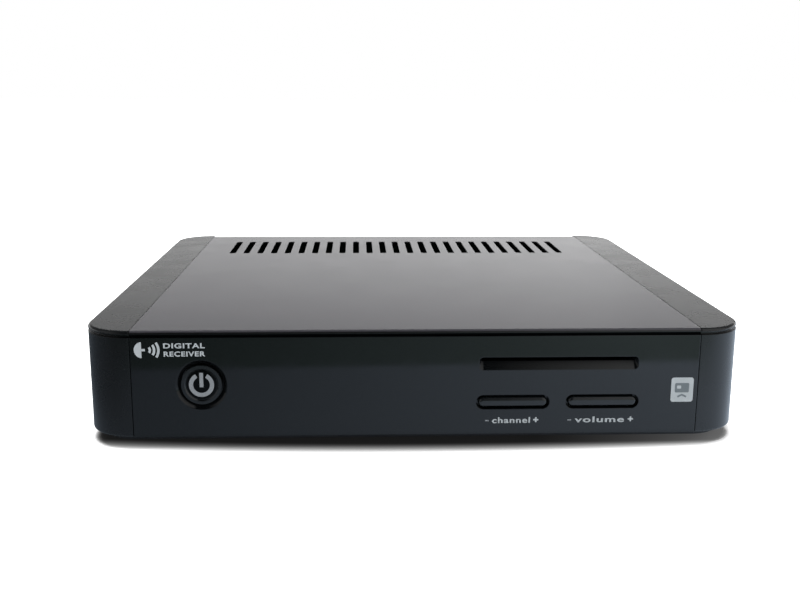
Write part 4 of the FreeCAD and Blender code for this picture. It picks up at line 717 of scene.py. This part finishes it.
@dataclass
class FrontMarks:
    """The lens of the power button and what is printed on it and on the fascia, in millimetres."""

    dish_depth: float = 0.45  # how far the power button's dished face lies behind its rim
    lens_radius: float = 5.45
    lens_height: float = 0.25  # how far the lens rises from the dish
    lens_sink: float = 0.05  # how far it reaches into it
    lens_round: float = 0.9  # the share of its height that its rim is rounded by
    symbol_radius: float = 3.72  # the middle radius of the power symbol's ring
    symbol_stroke: float = 1.5  # the width of its line
    symbol_gap: float = 28.0  # half the angle of its gap, in degrees
    bar_stroke: float = 1.35  # the width of the symbol's bar
    bar_foot: float = 0.9  # how far the bar reaches below the ring's middle
    label_drop: float = 7.0  # how far the labels lie below the middle of the rockers
    label_height: float = 2.1  # the height of their capitals
    sign_size: float = 0.95  # half the length of the minus and plus signs
    sign_stroke: float = 0.6  # the width of their lines

    def fascia(self, films: int = 0) -> Press:
        """Returns a press for the fascia, or for what is printed on it in some films."""
        return Press((0, corners("front_fascia")[0][1] - films * Press.height, 0), weight=0.07)

    def button(self, lift: float) -> Press:
        """Returns a press for the face that lies a lift before the power button's dish."""
        x, _, z = middle("power_button")
        return Press((x, corners("power_button")[0][1] + self.dish_depth - lift, z), body="power_button")

    def spot(self, x: float, drop: float) -> np.ndarray:
        """Returns a place on the fascia: right of its middle and below the lid's top."""
        return np.array([x, corners("top_cover")[1][2] - drop])

    def power_lens(self) -> None:
        """Turns a thin lens: flat in the middle, with a round that falls to the dish at its rim."""
        edge = np.linspace(0, math.pi / 2, 9)
        round_off = self.lens_height * self.lens_round
        shoulder = self.lens_radius - round_off * (1 - np.sin(edge))
        radius = np.concatenate([[0.0], shoulder, [self.lens_radius, 0.0]])
        height = self.lens_height - round_off * (1 - np.cos(edge))
        heights = np.concatenate([[self.lens_height], height, [-self.lens_sink, -self.lens_sink]])
        radii = radius[:, None] * np.ones(96)
        place(turned("power_lens", radii, heights, self.button(0).origin, (0, -1, 0)), LENS, "power_button")

    def power_symbol(self) -> None:
        """Prints a ring that is open at the top with a bar in its gap, on the power button's lens."""
        press = self.button(self.lens_height)
        ring = arc(self.symbol_radius, 90 + self.symbol_gap, 450 - self.symbol_gap, steps=96)
        bar = line((0, -self.bar_foot), (0, self.symbol_radius + self.symbol_stroke / 2))
        press.strokes("power_symbol_ring", [ring], self.symbol_stroke, GREY_INK)
        press.strokes("power_symbol_bar", [bar], self.bar_stroke, GREY_INK)

    def rocker_label(self, word: str, width: float, shift: float, minus: float, plus: float) -> None:
        """Prints a minus sign, a word and a plus sign under a rocker.

        Args:
            word: The word between the signs, which the rocker's node is named for.
            width: The word's width.
            shift: How far the word's middle lies right of the rocker's.
            minus: How far the minus sign lies left of the rocker's middle.
            plus: How far the plus sign lies right of it.
        """
        plus_rise, dash_share, dash_weight = 0.2, 0.7, 0.8
        press, button = self.fascia(), f"{word}_button"
        centre = middle(button)
        height = centre[2] - self.label_drop
        size, half = self.sign_size, self.sign_stroke / 2
        quarter = np.array([(half, size), (half, half), (size, half)])
        turns = [quarter @ np.array([(c, -s), (s, c)]) for c, s in ((1, 0), (0, 1), (-1, 0), (0, -1))]
        cross = np.concatenate(turns) + np.array([centre[0] + plus, height + plus_rise])
        press.area(f"{button}_plus", cross, INK)
        left, reach = centre[0] - minus, size * dash_share
        dash = line((left - reach, height), (left + reach, height))
        press.strokes(f"{button}_minus", [dash], self.sign_stroke * dash_weight, GREY_INK)
        press.word(f"{button}_word", word, self.label_height, (centre[0] + shift, height), width)

    def dish_mark(self) -> None:
        """Prints a dish and the waves that reach it, the common sign for a satellite aerial.

        The bowl is half an ellipse left of its rim; the waves are arcs about the feed before it.
        """
        x, drop, reach, half, rim, arm_foot, feed_x, stroke = -95.9, 6.8, 2.6, 2.9, 2.0, 2.1, 0.7, 0.85
        spot = self.spot(x, drop)
        turn = np.linspace(math.pi / 2, math.pi * 3 / 2, 40)
        bowl = spot + np.stack([reach * np.cos(turn) - rim, half * np.sin(turn)], axis=1)
        self.fascia().area("dish_mark_bowl", bowl, INK)
        feed = spot + np.array([-feed_x, 0])
        waves = [arc(radius, -35, 35, feed, 24) for radius in (1.7, 3.2, 4.7)]
        arm = line(spot + np.array([-arm_foot, 0]), feed)
        self.fascia().strokes("dish_mark_waves", [arm, *waves], stroke, INK)

    def title(self) -> None:
        """Prints in two lines what the thing is."""
        x, height, width = -83.0, 1.75, 14.6
        for word, drop in (("DIGITAL", 5.4), ("RECEIVER", 8.4)):
            self.fascia().word(f"title_{word.lower()}", word, height, self.spot(x, drop), width)

    def card_mark(self) -> None:
        """Prints a pale square with a card and its contact chip on it, the common sign for a smart card."""
        x, height = self.spot(96.4, 22.9)
        square = rounded_box(4.1, 4.6, 0.9, (x, height))[1:-1]
        card = rounded_box(2.6, 1.8, 0.5, (x - 0.1, height + 0.75))[1:-1]
        arrow = line((x - 1.6, height - 2.7), (x, height - 1.9), (x + 1.6, height - 2.7))
        chip = rounded_box(0.75, 0.6, 0.2, (x - 1.2, height + 1.0))[1:-1]
        self.fascia().area("card_mark_square", square, INK)
        self.fascia(1).area("card_mark_card", card, SLATE_INK)
        self.fascia(1).strokes("card_mark_arrow", [arrow], 0.7, SLATE_INK)
        self.fascia(2).area("card_mark_chip", chip, INK)

    def build(self) -> None:
        """Makes the lens and prints all of it."""
        self.power_lens()
        self.power_symbol()
        self.rocker_label("channel", 13.9, -0.4, 9.3, 8.6)
        self.rocker_label("volume", 18.2, -0.6, 11.8, 10.75)
        self.dish_mark()
        self.title()
        self.card_mark()


def join_pieces(name: str, pieces: Sequence[Piece]) -> Piece:
    """Joins meshes into one piece without merging their vertices.

    Args:
        name: The joined piece's name.
        pieces: The objects; they are removed.

    Returns:
        The joined object.
    """
    work = bmesh.new()
    for piece in pieces:
        work.from_mesh(piece.data)
        bpy.data.objects.remove(piece)
    mesh = bpy.data.meshes.new(name)
    work.to_mesh(mesh)
    work.free()
    return link(name, mesh)


def island_middles(node: str) -> np.ndarray:
    """Finds the middle of each separate solid of a node.

    Args:
        node: The node's name.

    Returns:
        One row of X, Y and Z in millimetres for each solid.
    """
    work = bmesh.new()
    work.from_mesh(bpy.data.objects[node].data)
    bmesh.ops.remove_doubles(work, verts=work.verts, dist=2 * MERGE)
    left, found = set(work.verts), []
    while left:
        front, island = [left.pop()], []
        while front:
            vertex = front.pop()
            island.append(tuple(vertex.co))
            near = {edge.other_vert(vertex) for edge in vertex.link_edges} & left
            left -= near
            front += near
        block = np.array(island)
        found.append((block.min(0) + block.max(0)) / 2 / MM)
    work.free()
    return np.array(sorted(found, key=tuple))


@dataclass
class Screws:
    """Cross-recessed pan-head screws in place of the plain ones, in millimetres."""

    head_radius: float = 2.6
    head_height: float = 1.2
    head_fall: float = 0.75  # the share of its height that the dome falls by to its rim
    recess_depth: float = 0.8  # the depth of the cross recess
    recess_reach: float = 1.55  # how far its arms reach from the middle
    recess_half: float = 0.3  # half the width of an arm
    side_slope: float = 0.12  # how far the recess's side walls lean
    end_slope: float = 0.2  # how far its end walls lean
    shank_radius: float = 1.2
    shank_length: float = 6.0
    tip_share: float = 0.4  # the length of the shank's tip, as a share of its radius

    def screw(self, name: str, seat: Span, axis: Span) -> Piece:
        """Makes one screw: a dome less a cross, over a shank.

        The dome's height at radius r is h * (1 - fall * (r / R) ** 4); the cross takes off its depth where
        either coordinate across the head is smaller than half an arm and r is smaller than the arm's reach.

        Args:
            name: The piece's name.
            seat: The middle of the head's underside, in millimetres.
            axis: The direction that the head looks in.

        Returns:
            The linked object.
        """
        columns, rows = 96, 40
        angles, ring = full_turn(columns), np.ones(columns)
        across = np.linspace(0, 1, rows)[:, None] * self.head_radius * ring
        arm = np.minimum(abs(across * np.cos(angles)), abs(across * np.sin(angles)))
        inside = np.clip((self.recess_half - arm) / self.side_slope + 0.5, 0, 1)
        inside *= np.clip((self.recess_reach - across) / self.end_slope + 0.5, 0, 1)
        dome = self.head_height * (1 - self.head_fall * (across / self.head_radius) ** 4)
        ends = np.array([
            (self.head_radius, 0), (self.shank_radius, 0), (self.shank_radius, -self.shank_length),
            (0, -self.shank_length - self.shank_radius * self.tip_share),
        ])
        radii = np.concatenate([across, ends[:, :1] * ring])
        heights = np.concatenate([dome - self.recess_depth * inside, ends[:, 1:] * ring])
        return turned(name, radii, heights, seat, axis)

    def build(self) -> None:
        """Makes the screws behind and below, one piece for each node."""
        for node, name, along, sign in (
            ("cover_screws", "cover_screw_set", 1, 1), ("base_screws", "base_screw_set", 2, -1)
        ):
            seats = island_middles(node)
            low, high = corners(node)
            seats[:, along] = high[along] - self.head_height if sign > 0 else low[along] + self.head_height
            axis = np.zeros(3)
            axis[along] = sign
            made = [self.screw(f"{name}_{place}", seat, axis) for place, seat in enumerate(seats)]
            stand_in(join_pieces(name, made), node, "screw_steel")


@dataclass
class AerialSockets:
    """The two threaded aerial sockets and their nuts, in millimetres."""

    pitch: float = 0.794  # the thread's pitch, 32 turns to the inch
    depth: float = 0.42  # the thread's depth
    start: float = 3.0  # how far from the socket's foot the thread starts
    chamfer: float = 0.5  # the chamfer at its mouth
    bore: float = 3.3
    bore_depth: float = 9.0
    bore_flare: float = 0.2  # how far the bore widens at its mouth
    thread_radius: float = 4.7625
    collar_radius: float = 6.0  # the radius of the collar behind the wall
    collar_height: float = 1.4  # the collar's thickness
    nut_flat: float = 5.5  # half the nut's width over its flats
    nut_spare: float = 0.15  # how far the cones that cut its corners end outside the flats
    nut_cones: Span = (0.25, 0.35)  # how high the cones are, behind and in front
    nut_leads: Span = (0.3, 0.4)  # how far its hole widens at its mouths
    play: float = 0.02  # the room between its hole and the thread's root

    def socket(self, node: str) -> None:
        """Makes a socket whose barrel carries a helical thread.

        On the barrel the radius is R - depth * t, where t is how far height / pitch - angle / turn is from
        the nearest whole number, doubled.

        Args:
            node: The socket's node.
        """
        low, high = corners(node)
        centre = middle(node)
        length = high[1] - low[1]
        columns, step = 64, self.pitch / 8
        ring = np.ones(columns)
        barrel = np.arange(self.start, length - self.chamfer, step)
        phase = barrel[:, None] / self.pitch - np.arange(columns) / columns
        thread = self.thread_radius - self.depth * 2 * abs(phase - np.round(phase))
        mouth = np.array([
            (0, length - self.bore_depth), (self.bore, length - self.bore_depth),
            (self.bore, length - self.bore_flare), (self.bore + self.bore_flare, length),
            (self.thread_radius - self.chamfer, length),
        ])
        core = self.thread_radius - self.depth
        behind = np.array([
            (core, self.start - step), (core, self.collar_height), (self.collar_radius, self.collar_height),
            (self.collar_radius, 0), (0, 0),
        ])
        radii = np.concatenate([mouth[:, :1] * ring, thread[::-1], behind[:, :1] * ring])
        heights = np.concatenate([mouth[:, 1], barrel[::-1], behind[:, 1]])
        seat = (centre[0], low[1], centre[2])
        piece = turned(f"{node}_threaded", radii, heights, seat, (0, 1, 0), 50.0)
        stand_in(piece, node, "nickel")

    def nuts(self) -> None:
        """Makes six-sided nuts: the radius is the flat's over the cosine of the angle from the flat's middle,
        cut by a cone at both ends."""
        low, high = corners("aerial_nuts")
        thick = high[1] - low[1]
        sector, ring = math.pi / 3, np.ones(96)
        six = self.nut_flat / np.cos((full_turn(96) + sector / 2) % sector - sector / 2)
        coned = np.minimum(six, self.nut_flat + self.nut_spare)
        inner = self.thread_radius - self.depth + self.play
        (back, front), (lead, lead_front) = self.nut_cones, self.nut_leads
        profile = (
            (0, (inner + lead) * ring), (0, coned), (back, six), (thick - front, six), (thick, coned),
            (thick, (inner + lead_front) * ring), (thick - lead, inner * ring), (lead, inner * ring),
            (0, (inner + lead) * ring),
        )
        heights = np.array([height for height, _ in profile])
        radii = np.stack([radius for _, radius in profile])
        made = []
        for node in ("aerial_socket_in", "aerial_socket_out"):
            x, _, z = middle(node)
            made.append(turned(f"{node}_nut", radii, heights, (x, low[1], z), (0, 1, 0), 30.0))
        stand_in(join_pieces("aerial_nut_pair", made), "aerial_nuts", "nickel")

    def build(self) -> None:
        """Makes both sockets and both nuts."""
        self.socket("aerial_socket_in")
        self.socket("aerial_socket_out")
        self.nuts()


@dataclass
class Feet:
    """Round rubber feet with a raised tread."""

    sink: float = 0.05  # how far the middle lies within the rim
    groove: float = 0.45  # the depth of the ring between the rim and the middle
    walls: Span = (0.36, 0.43, 0.58, 0.65)  # where the ring's walls start and end, in shares of the radius
    chamfer: Sequence[Span] = ((0.9, 0), (0.97, 0.15), (1, 0.5))  # the rim's corner: shares and heights

    def build(self) -> None:
        """Turns each foot: a chamfered rim, a shallow ring and a raised middle."""
        for node in ("foot_front_left", "foot_front_right", "foot_rear_left", "foot_rear_right"):
            low, high = corners(node)
            x, y, _ = middle(node)
            radius, height = (high[0] - low[0]) / 2, high[2] - low[2]
            tread, ring_in, ring_out, rim = radius * np.array(self.walls)
            profile = np.array([
                (0, self.sink), (tread, self.sink), (ring_in, self.groove), (ring_out, self.groove), (rim, 0),
                *((radius * share, rise) for share, rise in self.chamfer), (radius, height), (0, height),
            ])
            radii = profile[:, :1] * np.ones(72)
            piece = turned(f"{node}_tread", radii, profile[:, 1], (x, y, low[2]), (0, 0, 1), 25.0)
            stand_in(piece, node, "foot_rubber")


@dataclass
class RearMarks:
    """Small captions beside the sockets on the rear wall, in millimetres."""

    height: float = 1.5  # the height of their capitals
    rise: float = 2.3  # how far a caption's middle lies above the top of its socket

    def build(self) -> None:
        """Prints a caption over each socket."""
        press = Press((0, corners("base_chassis")[1][1], 0), (-1, 0, 0))
        captions = {
            "power_inlet": "12 V", "sensor_jack": "IR", "optical_socket": "OPTICAL", "video_insert": "VIDEO",
            "left_audio_insert": "L", "right_audio_insert": "R", "digital_video_socket": "DIGITAL",
            "data_socket": "DATA", "network_socket": "NETWORK", "aerial_socket_in": "IN",
            "aerial_socket_out": "OUT",
        }
        for node, word in captions.items():
            spot = (-middle(node)[0], corners(node)[1][2] + self.rise)
            press.word(f"{node}_caption", word, self.height, spot)


@dataclass
class RatingLabel:
    """A bare foil label on the underside, with the lines of an empty table, in millimetres."""

    half_length: float = 34.0
    half_width: float = 15.0
    corner: float = 2.0  # the radius of its corners
    thickness: float = 0.12
    middle_y: float = 45.0  # where its middle lies from front to back
    inset: float = 1.5  # how far the frame lies within its edge, and the rows within the frame
    stroke: float = 0.3  # the width of its lines

    def build(self) -> None:
        """Cuts the foil as a rounded rectangle and prints the table's lines on it."""
        under, ways = corners("base_chassis")[0][2], ((-1, 0, 0), (0, 1, 0))
        foil = Press((0, self.middle_y, under), *ways, height=self.thickness, root=0.02)
        foil.area("rating_label", rounded_box(self.half_length, self.half_width, self.corner)[1:-1], FOIL)
        reach = self.half_length - 2 * self.inset
        rows = [line((-reach, height), (reach, height)) for height in (-9, -3, 3, 9)]
        frame = rounded_box(self.half_length - self.inset, self.half_width - self.inset, self.corner - 0.7)
        press = Press((0, self.middle_y, under - self.thickness), *ways)
        press.strokes("rating_label_lines", [frame, *rows], self.stroke, INK_DARK)


# Stage, light and camera

@dataclass
class Studio:
    """A pale floor, soft lamps and the camera.

    Its ramps run along X or Y in metres, or over the X, Y or Z of a direction where they light the room.
    """

    eye: Span = (-21.64, -459.95, 130.15)  # where the camera stands, in millimetres
    yaw: float = 0.04353  # how far it looks to the right, in radians
    pitch: float = 0.21634  # how far it looks down
    roll: float = -0.00543  # how far its picture is turned
    lens_mm: float = 45.0
    sensor_mm: float = 36.0
    floor_reach: float = 6.0  # half the floor's side

    def camera(self) -> None:
        """Sets the camera's place and turn."""
        flat = math.cos(self.pitch)
        ahead = Vector((math.sin(self.yaw) * flat, math.cos(self.yaw) * flat, -math.sin(self.pitch)))
        level = Vector((math.cos(self.yaw), -math.sin(self.yaw), 0))
        upright = level.cross(ahead)
        right = level * math.cos(self.roll) - upright * math.sin(self.roll)
        above = level * math.sin(self.roll) + upright * math.cos(self.roll)
        data = bpy.data.cameras.new("camera")
        data.lens, data.sensor_width = self.lens_mm, self.sensor_mm
        data.clip_start, data.clip_end = 0.01, 50.0
        camera = link("camera", data)
        turn = Matrix((right, above, -ahead)).transposed().to_4x4()
        camera.matrix_world = Matrix.Translation(Vector(self.eye) * MM) @ turn
        bpy.context.scene.camera = camera

    def mirrored_floor(self, nodes: Wiring) -> Socket:
        """Colours the floor as gloss mirrors it: pale paper near the receiver, a dim room before it.

        Args:
            nodes: The floor's nodes.

        Returns:
            A socket with the colour.
        """
        room_left, room_right = (0.12, 0.17, 0.16, 1), (0.52, 0.66, 0.66, 1)
        paper_left, paper_right = (0.27, 0.325, 0.39, 1), (0.96, 1.12, 1.32, 1)
        paper_edge, paper_slant = Ramp(-0.2248, -0.2168), 0.034
        across, power, far_left = Ramp(-0.12, 0.13), 1.3, Ramp(-0.18, -0.115, 0.5)
        x = nodes.axis("X")
        slant = nodes.math("MULTIPLY_ADD", x, paper_slant, nodes.axis("Y"))
        right = nodes.math("POWER", nodes.ramp(x, across), power)
        room, paper = nodes.blend(right, room_left, room_right), nodes.blend(right, paper_left, paper_right)
        mirrored = nodes.blend(nodes.ramp(slant, paper_edge), room, paper)
        dimmed = {"operation": "MULTIPLY", 0: mirrored, 1: nodes.ramp(x, far_left)}
        return nodes.first("VectorMath", dimmed)

    def contact_shadow(self, nodes: Wiring) -> Socket:
        """Deepens the shadow where the receiver stands over the paper.

        Before the receiver the shadow opens along a line that bows forwards in the middle; elsewhere it
        follows how much of the sky the paper sees. Light comes in on the right.

        Args:
            nodes: The floor's nodes.

        Returns:
            A socket that is 0 in the deepest shadow and 1 in the open.
        """
        reach, sky_shade = 0.026, Ramp(0.48, 0.78, 0.35)
        left_sky, right_sky = Ramp(-0.085, -0.125, 0.0, 0.2), Ramp(0.08, 0.13, 0.0, 0.2)
        bow_middle, bow, bow_front = 0.01, 0.5, -0.1237
        front_opens, right_opens = Ramp(0.0105, 0.0, 0.35), Ramp(0.045, 0.11, 0.35, 0.6)
        darkness = 4.0
        x = nodes.axis("X")
        sky = nodes.add("AmbientOcclusion", {"samples": 16, "Distance": reach}).outputs["AO"]
        ends = nodes.math("ADD", nodes.ramp(x, left_sky), nodes.ramp(x, right_sky))
        clear = nodes.ramp(nodes.math("ADD", sky, ends), sky_shade)
        aside = nodes.math("SUBTRACT", x, bow_middle)
        edge = nodes.math("MULTIPLY_ADD", nodes.math("MULTIPLY", aside, aside), bow, bow_front)
        front = nodes.ramp(nodes.math("SUBTRACT", nodes.axis("Y"), edge), front_opens)
        before = nodes.math("MAXIMUM", front, nodes.ramp(x, right_opens))
        return nodes.math("POWER", nodes.math("MAXIMUM", clear, before), darkness)

    def floor_material(self) -> bpy.types.Material:
        """Makes the floor: white to the eye apart from shadows, pale paper and a dim room to gloss.

        From below it is clear, so that the underside can be looked at.

        Returns:
            The material.
        """
        white, gain, lift, gloss_shadow = 0.8, 1.35, Ramp(0.2, 0.7, 0.6), 0.5
        made = bpy.data.materials.new("white studio paper")
        made.use_nodes = True
        made.node_tree.nodes.clear()
        nodes = Wiring(made.node_tree)
        rays = nodes.add("LightPath").outputs
        shade = self.contact_shadow(nodes)
        bright = nodes.math("MULTIPLY", shade, gain)
        colour = nodes.mix(rays["Is Camera Ray"], white, bright)
        matt = nodes.first("BsdfDiffuse", {"Color": colour})
        reach = nodes.add("VectorMath", {"operation": "LENGTH", 0: nodes.place}).outputs["Value"]
        shaded = nodes.math("MULTIPLY", nodes.ramp(reach, lift), shade)
        glow = nodes.first("Emission", {"Strength": nodes.math("MULTIPLY", shaded, rays["Is Camera Ray"])})
        seen = nodes.first("AddShader", {0: matt, 1: glow})
        softer = nodes.math("POWER", shade, gloss_shadow)
        image = nodes.first("Emission", {"Color": self.mirrored_floor(nodes), "Strength": softer})
        above = nodes.choose(rays["Is Glossy Ray"], seen, image)
        below = nodes.first("BsdfTransparent", {})
        behind = nodes.add("NewGeometry").outputs["Backfacing"]
        nodes.add("OutputMaterial", {"Surface": nodes.choose(behind, above, below)})
        return made

    def floor(self) -> None:
        """Lays a large square of paper under the feet."""
        reach = self.floor_reach
        square = line((-reach, -reach, 0), (reach, -reach, 0), (reach, reach, 0), (-reach, reach, 0))
        mesh = mesh_of("floor", square, [(0, 1, 2, 3)])
        mesh.materials.append(self.floor_material())
        link("floor", mesh)

    def mirrored_room(self, nodes: Wiring) -> Socket:
        """Lights the room as gloss mirrors it.

        Behind, a bright band lies low and fades upwards; in front it is dark but for the right
        and the far left.

        Args:
            nodes: The world's nodes.

        Returns:
            A socket with the strength.
        """
        band_fall, band_side = Ramp(0.1, 0.242, 1.9, 0.13), Ramp(-0.25, 0.2, 0.87, 1.33)
        past_corner, turn = Ramp(0.24, 0.29, 1.0, 0.85), Ramp(-0.1, 0.1)
        front_right, front_left = Ramp(0.13, 0.26, 0.0, 0.8), Ramp(-0.4, -0.8, 0.0, 0.45)
        x = nodes.axis("X")
        along = nodes.math("MULTIPLY", nodes.ramp(x, band_side), nodes.ramp(x, past_corner))
        behind = nodes.math("MULTIPLY", nodes.ramp(nodes.axis("Z"), band_fall), along)
        ahead = nodes.math("MAXIMUM", nodes.ramp(x, front_right), nodes.ramp(x, front_left))
        return nodes.mix(nodes.ramp(nodes.axis("Y"), turn), ahead, behind)

    def world(self) -> None:
        """Surrounds it all with white, dimmer near the horizon for soft light and a shaded room to gloss."""
        world = bpy.data.worlds.new("room")
        bpy.context.scene.world = world
        world.use_nodes = True
        world.node_tree.nodes.clear()
        nodes = Wiring(world.node_tree, "Generated")
        rays = nodes.add("LightPath").outputs
        soft = nodes.ramp(nodes.axis("Z"), Ramp(0.0, 0.7, 0.28, 0.55))
        unseen = nodes.mix(rays["Is Glossy Ray"], soft, self.mirrored_room(nodes))
        strength = nodes.mix(rays["Is Camera Ray"], unseen, 1.0)
        back = nodes.first("Background", {"Color": (1, 1, 1, 1), "Strength": strength})
        nodes.add("OutputWorld", {"Surface": back})

    def lamp(self, name: str, place: Span, size: Span, power: float) -> None:
        """Hangs a soft lamp that looks at the receiver and that gloss doesn't show.

        Args:
            name: The lamp's name.
            place: Where it hangs, in metres.
            size: Its two sides, in metres.
            power: Its power, in watts.
        """
        data = bpy.data.lights.new(name, "AREA")
        data.shape = "RECTANGLE"
        data.size, data.size_y = size
        data.energy = power
        lamp = link(name, data)
        lamp.location = place
        lamp.rotation_euler = (-Vector(place)).to_track_quat("-Z", "Y").to_euler()
        lamp.visible_glossy = False

    def build(self) -> None:
        """Sets up the stage, the lamps, the camera and the plain colour view."""
        self.camera()
        self.floor()
        self.world()
        self.lamp("overhead_lamp", (-0.2, 0.2, 1.3), (1.2, 0.45), 17.0)
        self.lamp("right_lamp", (1.3, -0.5, 0.7), (0.7, 0.7), 5.0)
        bpy.context.scene.view_settings.view_transform = "Standard"


def main() -> None:
    """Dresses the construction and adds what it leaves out."""
    logging.basicConfig(level=logging.INFO, format="%(name)s: %(message)s")
    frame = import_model()
    Studio().build()
    for row in frame["record"]["subparts"]:
        dress(frame["nodes"][row["node"]], FINISHES[row["material_slot"]])
        LOG.info("%s: %s", row["node"], row["material_slot"])
    for section in (FrontMarks, Screws, AerialSockets, Feet, RearMarks, RatingLabel):
        section().build()


if __name__ == "__main__":
    main()
